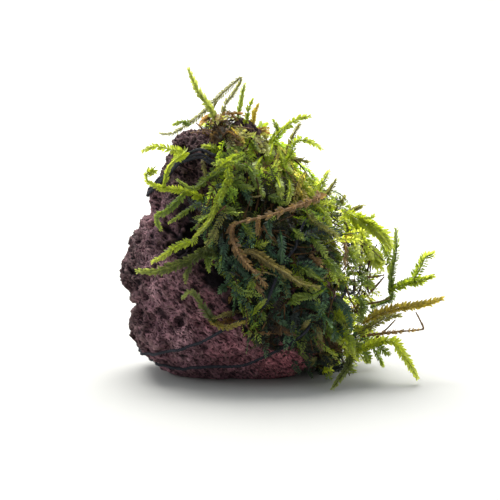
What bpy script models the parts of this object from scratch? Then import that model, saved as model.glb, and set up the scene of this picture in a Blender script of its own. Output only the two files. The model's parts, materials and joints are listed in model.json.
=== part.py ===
"""Java moss bound with thread to a loose piece of lava rock.

Places and sizes are in millimetres and become metres when a mesh is finished. +X is to the right
and -Y towards the viewer when the rock is seen from the front. The origin is the middle of the
worn flat face that the rock rests on.
"""

import math
import random

import bmesh
import bpy
from mathutils import Vector, noise
from mathutils.bvhtree import BVHTree
from mathutils.kdtree import KDTree

MM = 0.001
SEED = 41
# A distance that is past every piece
BEYOND = 90.0

# Driving dimensions of the rock
ROCK_TOP = 63.0
ROCK_BOTTOM = -3.0
SECTION_POWER = 2.3
ROCK_TRIANGLES = 3400
# Where the rock ends at each height: (height, place)
LEFT_SIDE = (
    (-3, -2), (-1, -14), (0, -18), (1, -21), (3.5, -23.5), (5.5, -25.5), (7, -27), (10, -28.5),
    (13, -28.5), (15.5, -28.5), (17, -27), (18, -28), (21, -28.5), (22, -30), (24, -31), (26.5, -31),
    (29.5, -29.5), (32.5, -29), (34.5, -27.5), (37, -26), (39, -24), (41, -22.5), (43.5, -23),
    (46, -22.5), (49.5, -21), (53, -19.5), (56, -18), (58, -17), (60, -15), (61.3, -11),
    (62, -5), (62.6, -1), (63, 1),
)
RIGHT_SIDE = (
    (-3, -2), (-1, 11), (0, 14), (3, 19.5), (6, 22.5), (10, 23.5), (15, 23.5), (20, 23), (25, 22.5),
    (30, 21.5), (35, 19.5), (40, 17.5), (45, 14.5), (50, 11.5), (54, 8.5), (57.5, 5.5),
    (60.5, 4), (62.5, 2), (63, 1),
)
FRONT_SIDE = (
    (-3, 0), (-1, -10), (0, -13), (2, -15.5), (5, -18.5), (10, -22), (18, -24), (25, -23.5),
    (33, -21), (40, -18), (45, -16), (50, -14), (55, -11.5), (60, -7), (62.4, -3.5), (63, 0),
)
BACK_SIDE = (
    (-3, 0), (-1, 8), (0, 11), (2, 13), (5, 15), (10, 18), (18, 20), (25, 20), (33, 19), (40, 17),
    (45, 15), (50, 13), (55, 10), (60, 6), (62.4, 3), (63, 0),
)
# Bulges (positive) and hollows (negative) of the rock: centre, reach, height
ROCK_LUMPS = (
    ((12, -19, 5), 8, 1.6),
    ((-16, -8, 56), 5, 0.7),
    ((3, 1, 62), 4.5, 2.2),
    ((-19, -16, 30), 7, 1.0),
    ((-21, -14, 13), 7, 0.9),
    ((-10, -21, 14), 10, 1.0),
    ((-2, -19, 2), 7, -1.6),
    ((-11, -16, 47), 6, -2.6),
    ((-8, -19, 37), 7, -2.0),
    ((-30, -7, 22.5), 3.2, -2.6),
    ((-29, -2, 17), 2.5, -1.6),
    ((-16, -12, 40), 5, -1.4),
    ((-12, 19, 28), 9, 1.6),
    ((8, 19, 14), 8, 1.2),
    ((-20, 13, 42), 6, -1.8),
    ((0, 20, 36), 7, -1.6),
)
FLOW_DOWN = Vector((0.77, 0.0, -0.64))
FLOW_ACROSS = Vector((0.64, 0.0, 0.77))
RIDGE_PITCH = 3.6
RIDGE_LENGTH = 12.0
RIDGE_HEIGHT = 1.6
RIDGE_TOP = 0.7
# The pores that stand out on the front and left: centre, reach, depth
LARGE_PORES = (
    ((-28.5, -8, 23), 1.9, 2.0),
    ((-23.5, -15, 22), 1.6, 1.9),
    ((-15.8, -20, 16.2), 1.7, 2.0),
    ((-11.8, -21, 24.8), 1.6, 2.0),
    ((-25, -10, 4), 1.5, 1.6),
)
PIT_COUNT = 85
PIT_SPACING = 3.7
PIT_REACH = (1.1, 2.1)
PIT_DEPTH = (1.0, 2.1)
# The share of the ridges and pores that is left where moss hides the rock
HIDDEN_RELIEF = 0.3

# Driving dimensions of the moss clumps
MOSS_TRIANGLES = 1600
UNDERSIDE_TRIANGLES = 640
UNDERSIDE_CLEARANCE = 1.45
BARE_DEPTH = -3.5
MOSS_FLOOR = 0.5
CLUMP_GAP = 0.3
TUFT_SIZE = 4.5
TUFT_HEIGHT = 2.0
# The edge of the moss, seen from the front and from the back: (height, place)
MOSS_EDGE_FRONT = (
    (0, 21), (6, 17), (9, 12), (11, 5), (14.5, 0), (18, -2), (24, -4), (29, -6), (35, -8.5), (40, -11),
    (44, -11.5), (50, -8), (56, -8), (60, -11), (64, -14),
)
MOSS_EDGE_BACK = (
    (0, 12), (6, 8), (12, 4), (20, 0), (28, -6), (36, -11), (44, -14), (52, -12), (60, -13), (64, -14),
)
# Where the bare rock shows through the crown: centre and reach
CROWN_GAP = (Vector((4, 0.5, 61.5)), 4.5)
# How far the moss stands off the rock at each height, on each side
DEPTH_FRONT = ((0, 3), (12, 4.5), (25, 5.5), (42, 5.5), (50, 4.5), (58, 2.8), (62, 2.4))
DEPTH_RIGHT = ((0, 6), (8, 8.5), (16, 10), (30, 11), (38, 8), (44, 5), (50, 3.5), (58, 2.8), (62, 2.4))
DEPTH_BACK = ((0, 3), (12, 5), (25, 6), (42, 6), (50, 5), (58, 2.8), (62, 2.4))

# Driving dimensions of the thread
THREAD_DIAMETER = 0.75
THREAD_GAP = 0.33
TOUCHING_GAP = 0.3
PINCH_REACH = 2.2
PINCHED_DEPTH = 2.5
BAND_TURNS = 2
BAND_PITCH = 1.1
GUIDE_SPACING = 1.0
PULL_ROUNDS = 6
PULL_PASSES = 60
PUSH_OUT = 1.1
THREAD_BEND = 0.13
THREAD_RUN = 10.0
# One turn round the knob, from the front over the left cheek and round the back
BAND_TURN = (
    (3, -14.5, 54), (-2, -14.5, 55.5), (-6.5, -15.5, 57), (-10, -14, 58.5), (-13, -13.5, 58.5),
    (-18, -11, 56.5), (-21.5, -6, 51), (-23.5, -1, 47), (-21, 5, 46.5), (-15, 11, 46.5),
    (-6, 14, 47), (4, 12, 48), (10, 6, 49.5), (11, -2, 51), (7, -9, 53),
)
LAST_BAND_POINT = 9
# Down the back of the left side, from the knob to the foot
DOWN_THE_BACK = (
    (-18, 13, 40), (-22, 14, 32), (-25, 12, 24), (-27, 9, 14), (-26, 5.5, 8), (-25.5, 1.5, 5.2),
)
# Up across the front to the right shoulder, and back down behind
RISING_TURN = (
    (-25.5, -2, 5), (-20, -14, 7), (-16.5, -17, 8.5), (-13, -20, 10), (-9.5, -22, 12),
    (-6, -23.5, 14.5), (-2.5, -24.5, 17), (0, -25, 18.5), (3.5, -27, 21), (7, -28, 26.5),
    (10, -28, 32), (11.5, -27, 34), (13.5, -25, 37), (15, -20, 40.5), (16, -14, 43.5),
    (17, -6, 44.5), (16.5, 3, 43.5), (12.5, 11, 40), (5, 16.5, 33), (-4, 18.5, 24.5), (-13, 17, 15),
    (-20, 11.5, 8), (-24, 4, 3.8),
)
# Along the foot of the front, up the right side and away behind
LOW_TURN = (
    (-25.5, -2, 3), (-24, -7, 3.2), (-20.5, -12, 3.2), (-17, -15, 3), (-14, -17, 3.3),
    (-9.5, -18, 4.5), (-4.5, -18.5, 5), (-0.5, -19, 5.5), (6, -22, 9), (10.5, -24, 12),
    (14, -25, 15), (17.5, -25, 18.5), (20, -24, 21.5), (21, -22, 23.5), (27, -8, 25),
    (25, 6, 22), (16, 16, 17), (8, 19.5, 13),
)

# Driving dimensions of the shoots: width and thickness of each kind
LEAFY = (2.3, 0.9)
SLIM = (1.6, 0.7)
STOUT = (1.3, 1.0)
STEM = (0.7, 0.55)
RING_SPACING = {LEAFY: 2.0, SLIM: 1.9, STOUT: 2.6, STEM: 3.2}
NOTCH_SHARE = {LEAFY: 0.6, SLIM: 0.62, STOUT: 0.8, STEM: 0.9}
BASE_SHARE = 0.45
TIP_SHARE = 0.35
FINE_STEP = 0.25
BASE_TRIMS = 5
LIFT_PASSES = 80
LIFT_STEP = 0.25
LIFT_REACH = 2.5
FEWEST_STEPS = 8

BRIGHT = (0.30, 0.42, 0.045)
GREEN = (0.11, 0.19, 0.03)
DARK = (0.035, 0.06, 0.022)
BROWN = (0.17, 0.105, 0.045)
GOLD = (0.30, 0.21, 0.05)

# Each shoot: name, kind, colour, places from its base to its tip
SHOOTS = (
    ("tall_shoot", LEAFY, BRIGHT, (
        (-6.5, -4, 61), (-8, -4, 66), (-10, -4.5, 69.5), (-12, -5, 72.5), (-14, -6, 77.5))),
    ("arching_stem_rise", STEM, BROWN, ((-6, 0, 61), (-4, 1, 68), (-2, 2, 71.5), (-1, 2, 73.5))),
    ("arching_stem_fall", SLIM, GREEN, (
        (-1, 2, 74.5), (-4, 1, 72), (-7.5, -1, 69), (-10, -2, 66.5), (-13.5, -4, 64), (-18, -6, 61.5),
        (-21, -7, 61.5))),
    ("crown_leafy_stem", SLIM, GOLD, (
        (-1, 2, 61), (-1.5, 2, 65.5), (-1, 2.5, 68), (-0.5, 3, 71), (0, 3.5, 72.5))),
    ("crown_curl", SLIM, BRIGHT, ((0, -2, 61), (1, -2.5, 67), (2, -3, 69.5))),
    ("crown_brown_tip", SLIM, GOLD, ((2, 0, 61), (2.5, 0, 65.5), (3.5, -0.5, 68))),
    ("upper_left_frond", LEAFY, BRIGHT, (
        (-15, -12, 57.5), (-20, -14, 59), (-22.5, -14.5, 59.5), (-25, -15, 58.5))),
    ("left_fork_main", LEAFY, GREEN, (
        (-8, -17, 45.5), (-13.5, -19, 48.5), (-17, -20, 49.5), (-21, -20, 50), (-24, -19.5, 51.5),
        (-24.5, -19, 53))),
    ("left_fork_tip", LEAFY, GREEN, ((-22.5, -19.5, 51), (-23, -19, 53.5), (-23, -18.5, 55.5))),
    ("left_fork_branch", SLIM, BRIGHT, ((-20, -20, 50.5), (-19, -19.5, 54.5), (-17.5, -19, 56.5))),
    ("loop_leaf", SLIM, GREEN, (
        (-8.5, -15.5, 52), (-12, -18, 49.5), (-14, -18.5, 50.5), (-16, -18.5, 51.5))),
    ("left_low_sprig", LEAFY, GREEN, (
        (-14.5, -18.5, 48.5), (-18, -21, 45.5), (-20, -21.5, 44), (-22, -21.5, 43), (-21, -21.5, 40))),
    ("left_thin_sprig", SLIM, GREEN, (
        (-9, -18, 47), (-12, -19, 45.5), (-16, -20.5, 43), (-18.5, -21, 41.5))),
    ("hanging_frond", LEAFY, BRIGHT, (
        (-4, -17, 56), (-4, -21, 52), (-5.5, -22.5, 49.5), (-7, -24, 46), (-9, -25, 42),
        (-12, -25.5, 39))),
    ("hanging_frond_tip", LEAFY, BRIGHT, (
        (-12.5, -25, 37.5), (-16, -25.5, 36.5), (-20, -26, 34), (-22.5, -26, 32.5))),
    ("long_left_frond", LEAFY, BRIGHT, (
        (-4, -22, 33.5), (-10, -26, 35), (-13.5, -27, 33), (-19, -27, 31), (-22, -26.5, 30),
        (-26, -26, 30))),
    ("long_left_branch", SLIM, GREEN, ((-12.5, -27, 33.5), (-14, -27.5, 30.5), (-14.5, -27, 27.5))),
    ("lower_left_shoot", LEAFY, BRIGHT, (
        (-4, -22, 14), (-7, -24, 16.5), (-9, -26, 19), (-11, -27, 22.5), (-13, -27.5, 25),
        (-15, -27.5, 24))),
    ("low_yellow_strand", SLIM, GOLD, ((-8.5, -25, 17.5), (-5, -26, 16), (0, -26, 17.5))),
    ("front_bright_sprig", SLIM, BRIGHT, ((1, -24, 17.5), (2, -26.5, 21), (4, -26.5, 23))),
    ("brown_stem_upper", STOUT, BROWN, (
        (18.5, -17, 47), (15, -20, 46), (11, -22, 45), (7.5, -23.5, 44), (3, -24.5, 43), (0, -25, 42.5),
        (-3, -25, 41.5))),
    ("brown_stem_lower", STOUT, BROWN, (
        (-4, -25, 40), (-3, -25.5, 38), (-2, -26.5, 35.5), (0, -27, 32.5), (3, -27.5, 29),
        (5, -27.5, 26.5))),
    ("brown_stem_limb", SLIM, GOLD, (
        (0, -27, 35.5), (3, -27.5, 34.5), (6, -28, 32.5), (10, -28, 30), (13.5, -27.5, 27.5),
        (18.5, -26.5, 26))),
    ("upper_right_frond", LEAFY, BRIGHT, (
        (5, -5, 56), (8, -7, 61), (10.5, -7.5, 63.5), (13.5, -8, 65.5), (16, -8, 66))),
    ("upper_right_brown", SLIM, GOLD, ((10.5, -3.5, 55), (12, -4, 60), (13, -4, 62), (14, -4, 63.5))),
    ("upper_right_arc", LEAFY, BRIGHT, (
        (9, -5, 53), (10, -6, 56), (12, -7, 59), (14, -7.5, 60), (16.5, -8, 59.5), (19, -8, 58))),
    ("right_grey_tip", SLIM, DARK, ((9, 0, 54), (13, 0, 53), (15, 0, 53))),
    ("right_bright_tip", LEAFY, BRIGHT, ((17, -6, 44), (19, -6, 47), (20, -6, 49.5), (21, -6, 51.5))),
    ("right_brown_tip", SLIM, GOLD, ((18, -2, 42), (20, -3, 44.5), (21.5, -3, 46.5), (23, -3, 49))),
    ("right_peak", SLIM, GOLD, ((20, 0, 38), (22.5, -1, 41), (24, -1, 43), (25, -1, 44.5))),
    ("right_peak_low", SLIM, GOLD, ((22, 1, 37), (25.5, 0, 40), (27.5, 0, 41), (30, 0, 42))),
    ("backlit_frond", LEAFY, BRIGHT, (
        (22, -4, 38), (26, -5, 40.5), (29, -5.5, 39.5), (32, -6, 37.5), (35, -6, 35.5), (37, -6, 32.5))),
    ("backlit_frond_low", LEAFY, BRIGHT, (
        (24, -7, 35), (27, -8, 36.5), (29.5, -9, 35), (32, -9.5, 32), (33.5, -9.5, 28.5))),
    ("upright_stem", SLIM, DARK, (
        (33, -9, 18), (37, -10, 20), (37, -10, 22.5), (37, -10, 26.5), (38, -10, 31.5), (38, -10, 37.5))),
    ("far_frond", LEAFY, BRIGHT, ((37, -11, 22.5), (41, -11, 24.5), (44, -11, 25), (47, -11, 26))),
    ("far_frond_tip", LEAFY, BRIGHT, (
        (42.5, -12, 25.5), (44, -13, 28.5), (45.5, -13, 31.5), (47, -13, 32))),
    ("gold_frond", LEAFY, GOLD, (
        (26, -13, 9), (31, -15, 15.5), (35, -15.5, 17.5), (39.5, -16, 19), (44, -16, 19.5),
        (49, -16, 21))),
    ("gold_frond_low", LEAFY, GOLD, ((28, -16, 12), (35, -18, 16.5), (38.5, -18.5, 17.5))),
    ("kinked_stem", STEM, BROWN, ((30, -12, 11), (38.5, -12, 12), (44.5, -12, 12.5))),
    ("kinked_stem_end", STEM, BROWN, ((45, -12, 12.8), (44, -12, 15), (43, -12, 17))),
    ("small_twig", STEM, BROWN, ((31, -9, 8), (35, -9, 11.5), (37, -9, 13), (38, -9, 14.5))),
    ("lower_right_frond", LEAFY, BRIGHT, (
        (29, -15, 8), (33.5, -16, 10), (37, -17, 10.5), (39, -18, 8.5), (41, -18.5, 5.5), (43, -19, 2))),
    ("floor_frond", LEAFY, GREEN, ((26, -16, 7), (26, -21, 5.5), (24, -24.5, 3.2), (22, -27, 0.9))),
    ("dark_twig", STEM, DARK, ((27, -2, 23), (31, -3, 29.5), (33, -3, 32.5))),
    ("dark_twig_low", STEM, DARK, ((28, -4, 23), (32, -5, 27.5), (36, -5, 28))),
    ("old_stem_bundle", SLIM, DARK, ((25, -13, 4), (22, -13.5, 2.2), (19, -13, 1.5))),
    ("back_high_frond", LEAFY, BRIGHT, ((2, 8, 57), (4, 13, 60), (5, 18, 60), (6, 22, 57))),
    ("back_left_frond", LEAFY, GREEN, ((-8, 14, 44), (-14, 19, 44), (-19, 22, 41), (-22, 23, 36))),
    ("back_hanging_frond", LEAFY, BRIGHT, ((2, 20, 34), (0, 27, 30), (-2, 29, 24), (-3, 29, 18))),
    ("back_right_frond", LEAFY, GREEN, ((18, 14, 30), (25, 19, 31), (30, 21, 29), (34, 22, 25))),
    ("back_low_frond", LEAFY, GOLD, ((15, 17, 10), (19, 24, 10), (22, 28, 7.5), (24, 31, 4))),
    ("back_stem", STEM, BROWN, ((8, 17, 44), (2, 23, 42), (-4, 25, 36), (-5, 25, 28))),
)


def ramp(value, low, high):
    """0 below low, 1 above high, and smooth between."""
    share = min(max((value - low) / (high - low), 0.0), 1.0)
    return share * share * (3 - 2 * share)


def read_profile(profile, height):
    """The place that a profile gives at a height, straight between its points."""
    if height <= profile[0][0]:
        return profile[0][1]
    for (low, start), (high, end) in zip(profile, profile[1:]):
        if height <= high:
            return start + (end - start) * (height - low) / (high - low)
    return profile[-1][1]


def spine(height):
    """The middle of the rock at a height."""
    height = min(max(height, 0.0), ROCK_TOP)
    across = (read_profile(LEFT_SIDE, height) + read_profile(RIGHT_SIDE, height)) / 2
    deep = (read_profile(FRONT_SIDE, height) + read_profile(BACK_SIDE, height)) / 2
    return Vector((across, deep, height))


def section_point(direction):
    """Where the plain form of the rock lies in one direction of a unit sphere."""
    height = ROCK_BOTTOM + (ROCK_TOP - ROCK_BOTTOM) * (direction.z + 1) / 2
    left, right = read_profile(LEFT_SIDE, height), read_profile(RIGHT_SIDE, height)
    front, back = read_profile(FRONT_SIDE, height), read_profile(BACK_SIDE, height)
    half_width = max((right - left) / 2, 1e-4)
    half_depth = max((back - front) / 2, 1e-4)
    turn = math.atan2(direction.y, direction.x)
    reach = (abs(math.cos(turn) / half_width) ** SECTION_POWER
             + abs(math.sin(turn) / half_depth) ** SECTION_POWER) ** (-1 / SECTION_POWER)
    return Vector((
        (left + right) / 2 + reach * math.cos(turn),
        (front + back) / 2 + reach * math.sin(turn),
        height,
    ))


def broad_relief(place):
    """The rock's bulges, hollows and slow waves."""
    rise = noise.noise(place * 0.11) * 1.3 + noise.noise(place * 0.23 + Vector((7, 3, 1))) * 0.8
    for centre, reach, height in ROCK_LUMPS:
        distance = (place - Vector(centre)).length
        rise += height * math.exp(-((distance / reach) ** 2))
    return rise


def flow_relief(place):
    """Slanting ridges left by the flow, sharp on top and rounded between."""
    along = place.dot(FLOW_DOWN) / RIDGE_LENGTH
    across = place.dot(FLOW_ACROSS) / RIDGE_PITCH
    wave = noise.noise(Vector((along, across, place.y / 9)))
    fine = noise.noise(Vector((along * 2.5, across * 2.1, place.y / 5 + 11)))
    return min(RIDGE_HEIGHT * ((1 - 2.6 * abs(wave)) * 0.8 + 0.6 * fine), RIDGE_TOP)


def new_object(name, bm, collection):
    """Turns a bmesh in millimetres into an object in metres."""
    bmesh.ops.scale(bm, vec=(MM, MM, MM), verts=bm.verts)
    mesh = bpy.data.meshes.new(name)
    bm.to_mesh(mesh)
    bm.free()
    obj = bpy.data.objects.new(name, mesh)
    collection.objects.link(obj)
    return obj


def read_back(obj):
    """The evaluated mesh of an object as a bmesh in millimetres."""
    graph = bpy.context.evaluated_depsgraph_get()
    mesh = bpy.data.meshes.new_from_object(obj.evaluated_get(graph))
    bm = bmesh.new()
    bm.from_mesh(mesh)
    bpy.data.meshes.remove(mesh)
    bmesh.ops.scale(bm, vec=(1 / MM, 1 / MM, 1 / MM), verts=bm.verts)
    return bm


def sphere_form(subdivisions, push):
    """The rock's plain form with each point moved along its normal by push(place, normal)."""
    bm = bmesh.new()
    bmesh.ops.create_icosphere(bm, subdivisions=subdivisions, radius=1)
    for vert in bm.verts:
        vert.co = section_point(vert.co.normalized())
    bm.normal_update()
    moved = [vert.co + vert.normal * push(vert.co, vert.normal) for vert in bm.verts]
    for vert, place in zip(bm.verts, moved):
        vert.co = place
    return bm


def thin_out(bm, triangles, collection):
    """Collapses a mesh to about a number of triangles."""
    obj = new_object("rough_form", bm, collection)
    reduce = obj.modifiers.new("reduce", "DECIMATE")
    reduce.ratio = triangles / len(obj.data.polygons)
    reduce.use_collapse_triangulate = True
    result = read_back(obj)
    bpy.data.objects.remove(obj)
    return result


def cut_flat(bm, height):
    """Cuts everything below a height away and closes the cut with one flat face."""
    cut = bmesh.ops.bisect_plane(
        bm, geom=bm.verts[:] + bm.edges[:] + bm.faces[:], dist=1e-5,
        plane_co=(0, 0, height), plane_no=(0, 0, 1), clear_inner=True)
    rim = [part for part in cut["geom_cut"] if isinstance(part, bmesh.types.BMEdge)]
    bmesh.ops.holes_fill(bm, edges=rim, sides=0)
    bmesh.ops.recalc_face_normals(bm, faces=bm.faces)


def largest_body(bm):
    """Keeps the largest connected body of a mesh and drops the crumbs."""
    left = set(bm.verts)
    bodies = []
    while left:
        stack = [left.pop()]
        body = set(stack)
        while stack:
            for edge in stack.pop().link_edges:
                for vert in edge.verts:
                    if vert in left:
                        left.discard(vert)
                        body.add(vert)
                        stack.append(vert)
        bodies.append(body)
    bodies.sort(key=len)
    crumbs = [vert for body in bodies[:-1] for vert in body]
    bmesh.ops.delete(bm, geom=crumbs, context="VERTS")


def moss_cover(place):
    """0 where the rock is bare, 1 where moss covers it."""
    behind = ramp(place.y, -5, 8)
    edge = (read_profile(MOSS_EDGE_FRONT, place.z) * (1 - behind)
            + read_profile(MOSS_EDGE_BACK, place.z) * behind)
    edge += 1.5 * noise.noise(place * 0.35)
    gap_place, gap_reach = CROWN_GAP
    cover = ramp(place.x - edge, -1.0, 3.5)
    return cover * ramp((place - gap_place).length, 0.6 * gap_reach, 1.3 * gap_reach)


def pit_places():
    """Centres, reach and depth of the pores, spread over the bare part of the rock."""
    draw = random.Random(SEED)
    pits = [(Vector(place), reach, depth) for place, reach, depth in LARGE_PORES]
    while len(pits) < PIT_COUNT:
        direction = Vector((draw.gauss(0, 1), draw.gauss(0, 1), draw.gauss(0, 1))).normalized()
        place = section_point(direction)
        reach, depth = draw.uniform(*PIT_REACH), draw.uniform(*PIT_DEPTH)
        clear = all((place - other).length > PIT_SPACING for other, _, _ in pits)
        if place.z > 2 and clear and moss_cover(place) < 0.5:
            pits.append((place, reach, depth))
    return pits


def make_rock(collection):
    """The lava rock: plain form, bulges, flow ridges and pores, worn flat where it rests."""
    pits = pit_places()
    tree = KDTree(len(pits))
    for index, (place, _, _) in enumerate(pits):
        tree.insert(place, index)
    tree.balance()

    def push(place, _normal):
        relief = flow_relief(place)
        for _, index, distance in tree.find_range(place, 2 * PIT_REACH[1]):
            _, reach, depth = pits[index]
            relief -= depth * math.exp(-((distance / reach) ** 4))
        shown = 1 - (1 - HIDDEN_RELIEF) * moss_cover(place)
        return (broad_relief(place) + relief * shown) * ramp(place.z, -2, 3)

    bm = thin_out(sphere_form(7, push), ROCK_TRIANGLES, collection)
    cut_flat(bm, 0.0)
    return new_object("lava_rock", bm, collection)


def smooth_route(points, spacing):
    """Evenly spaced points on a smooth curve through the given ones."""
    points = [Vector(p) for p in points]
    ends = [2 * points[0] - points[1]] + points + [2 * points[-1] - points[-2]]
    fine = []
    for a, b, c, d in zip(ends, ends[1:], ends[2:], ends[3:]):
        steps = max(int((c - b).length / FINE_STEP), 2)
        for step in range(steps):
            t = step / steps
            fine.append(0.5 * (2 * b + (c - a) * t + (2 * a - 5 * b + 4 * c - d) * t * t
                               + (3 * b - a - 3 * c + d) * t ** 3))
    fine.append(points[-1])
    length = sum((q - p).length for p, q in zip(fine, fine[1:]))
    step = length / max(round(length / spacing), 2)
    route, gone, due = [fine[0]], 0.0, step
    for p, q in zip(fine, fine[1:]):
        span = (q - p).length
        while span > 0 and gone + span >= due - 1e-9 and due < length - step / 2:
            route.append(p.lerp(q, (due - gone) / span))
            due += step
        gone += span
    return route + [fine[-1]]


def thread_guide():
    """The whole thread, laid out by eye: the turns of the band, then the two long turns."""
    guide = []
    for turn in range(BAND_TURNS):
        for index, (x, y, z) in enumerate(BAND_TURN):
            sunk = BAND_PITCH * (turn + index / len(BAND_TURN))
            guide.append((x, y, z - sunk))
    for x, y, z in BAND_TURN[:LAST_BAND_POINT]:
        guide.append((x, y, z - BAND_PITCH * BAND_TURNS))
    return smooth_route(guide + list(DOWN_THE_BACK) + list(RISING_TURN) + list(LOW_TURN), GUIDE_SPACING)


def moss_depth(place, normal, guide_tree):
    """How far the moss stands off the plain form of the rock."""
    behind = ramp(place.y, -5, 8)
    cover = moss_cover(place)
    to_right = ramp(normal.x, 0.25, 0.9)
    ahead = (read_profile(DEPTH_FRONT, place.z) * (1 - behind)
             + read_profile(DEPTH_BACK, place.z) * behind)
    depth = ahead * (1 - to_right) + read_profile(DEPTH_RIGHT, place.z) * to_right
    depth += TUFT_HEIGHT * noise.noise(place / TUFT_SIZE)
    _, _, distance = guide_tree.find(place)
    pinch = min(1.3 * math.exp(-((distance / PINCH_REACH) ** 2)), 1)
    depth += (PINCHED_DEPTH - depth) * pinch
    return BARE_DEPTH + cover * (max(depth, PINCHED_DEPTH) - BARE_DEPTH)


def hollow_push(place, _normal):
    """The hollow that the rock leaves in the moss: its broad relief, with room for the ridges."""
    return broad_relief(place) * ramp(place.z, -2, 3) + UNDERSIDE_CLEARANCE


def make_cell(name, planes, collection):
    """A large block cut by planes: it keeps the side that each plane's normal points away from."""
    bm = bmesh.new()
    bmesh.ops.create_cube(bm, size=2 * BEYOND)
    for place, normal in planes:
        cut = bmesh.ops.bisect_plane(
            bm, geom=bm.verts[:] + bm.edges[:] + bm.faces[:], dist=1e-5,
            plane_co=place, plane_no=normal, clear_outer=True)
        rim = [part for part in cut["geom_cut"] if isinstance(part, bmesh.types.BMEdge)]
        bmesh.ops.holes_fill(bm, edges=rim, sides=0)
    bmesh.ops.recalc_face_normals(bm, faces=bm.faces)
    cell = new_object(name, bm, collection)
    hide_guide(cell)
    return cell


def hide_guide(obj):
    obj.hide_render = True
    obj.display_type = "WIRE"


def facing(point, normal, side):
    """A plane shifted by half the gap between two clumps, keeping one side of it."""
    normal = Vector(normal).normalized() * side
    return Vector(point) - normal * CLUMP_GAP / 2, normal


def make_clumps(guide, parts, cutters):
    """The moss clumps: one shaggy coat over the rock, hollowed by the rock and parted in five."""
    guide_tree = KDTree(len(guide))
    for index, place in enumerate(guide):
        guide_tree.insert(place, index)
    guide_tree.balance()
    coat = sphere_form(6, lambda place, normal: moss_depth(place, normal, guide_tree))
    coat = thin_out(coat, MOSS_TRIANGLES, cutters)
    cut_flat(coat, MOSS_FLOOR)
    coat = new_object("moss_coat", coat, cutters)
    underside = sphere_form(5, hollow_push)
    underside = new_object("rock_hollow", thin_out(underside, UNDERSIDE_TRIANGLES, cutters), cutters)
    hide_guide(coat)
    hide_guide(underside)

    crown_cut = ((0, 0, 46), (-0.12, 0, 1))
    back_cut = ((0, 5, 0), (0.1, 1, 0))
    side_cut = ((13, 0, 24), (1, -0.15, -0.1))
    level_cut = ((0, 0, 24), (0.1, 0.1, 1))
    below = facing(*crown_cut, 1)
    ahead = facing(*back_cut, 1)
    clumps = {
        "moss_crown": (facing(*crown_cut, -1),),
        "moss_back": (below, facing(*back_cut, -1)),
        "moss_front": (below, ahead, facing(*side_cut, 1)),
        "moss_right_upper": (below, ahead, facing(*side_cut, -1), facing(*level_cut, -1)),
        "moss_right_lower": (below, ahead, facing(*side_cut, -1), facing(*level_cut, 1)),
    }
    made = []
    for name, planes in clumps.items():
        cell = make_cell(name + "_cell", planes, cutters)
        block = bpy.data.objects.new(name + "_block", coat.data)
        cutters.objects.link(block)
        for cutter, operation in ((underside, "DIFFERENCE"), (cell, "INTERSECT")):
            step = block.modifiers.new(cutter.name, "BOOLEAN")
            step.operation = operation
            step.solver = "EXACT"
            step.object = cutter
        bm = read_back(block)
        bmesh.ops.remove_doubles(bm, verts=bm.verts, dist=1e-3)
        bmesh.ops.dissolve_degenerate(bm, edges=bm.edges, dist=1e-3)
        bmesh.ops.triangulate(bm, faces=bm.faces)
        largest_body(bm)
        bmesh.ops.recalc_face_normals(bm, faces=bm.faces)
        bpy.data.objects.remove(block)
        made.append(new_object(name, bm, parts))
    return made


PROBE = Vector((0.31, -0.77, 0.56)).normalized()


class Obstacles:
    """The surfaces already made, in millimetres, for laying thread and shoots clear of them."""

    def __init__(self):
        self.verts, self.faces, self.tree = [], [], None

    def add(self, obj):
        first = len(self.verts)
        obj.data.calc_loop_triangles()
        self.verts += [vert.co / MM for vert in obj.data.vertices]
        self.faces += [[first + i for i in tri.vertices] for tri in obj.data.loop_triangles]
        self.tree = BVHTree.FromPolygons(self.verts, self.faces)

    def clearance(self, place):
        """Distance to the nearest surface, below zero inside a solid."""
        distance = self.tree.find_nearest(place)[3]
        crossings, start = 0, place
        while True:
            hit = self.tree.ray_cast(start, PROBE)[0]
            if hit is None:
                break
            crossings += 1
            start = hit + PROBE * 1e-4
        return -distance if crossings % 2 else distance

    def outermost(self, origin, direction):
        """How far from the origin the outermost surface lies in a direction."""
        hit = self.tree.ray_cast(origin + direction * BEYOND, -direction)
        return BEYOND - hit[3] if hit[0] else 0.0


def lay_thread(guide, obstacles, collection):
    """Pulls the thread taut over rock and moss: it touches the high places and spans the hollows."""
    radius = THREAD_DIAMETER / 2
    origins, rays, reach = [], [], []
    for place in guide:
        origin = spine(place.z)
        origins.append(origin)
        rays.append((place - origin).normalized())
    for origin, ray in zip(origins, rays):
        reach.append(obstacles.outermost(origin, ray) + radius + THREAD_GAP)
    for _ in range(PULL_ROUNDS):
        for index, (origin, ray) in enumerate(zip(origins, rays)):
            short = radius + THREAD_GAP - abs(obstacles.clearance(origin + ray * reach[index]))
            reach[index] += max(short, 0) * PUSH_OUT
        for _ in range(PULL_PASSES):
            for index in range(1, len(reach) - 1):
                before = origins[index - 1] + rays[index - 1] * reach[index - 1]
                after = origins[index + 1] + rays[index + 1] * reach[index + 1]
                chord = ((before + after) / 2 - origins[index]).dot(rays[index])
                reach[index] = max(reach[index], chord)
    laid = [origin + ray * far for origin, ray, far in zip(origins, rays, reach)]
    kept = keep_bends(laid, THREAD_BEND, THREAD_RUN)
    return make_tube("binding_thread", kept, radius, collection)


def keep_bends(route, bend, longest):
    """Drops the points that a straight run passes within a small distance of."""
    kept, start = [route[0]], 0
    for end in range(2, len(route)):
        a, b = route[start], route[end]
        line = (b - a).normalized()
        off = max(((p - a) - line * (p - a).dot(line)).length for p in route[start + 1:end])
        if off > bend or (b - a).length > longest:
            start = end - 1
            kept.append(route[start])
    return kept + [route[-1]]


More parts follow.
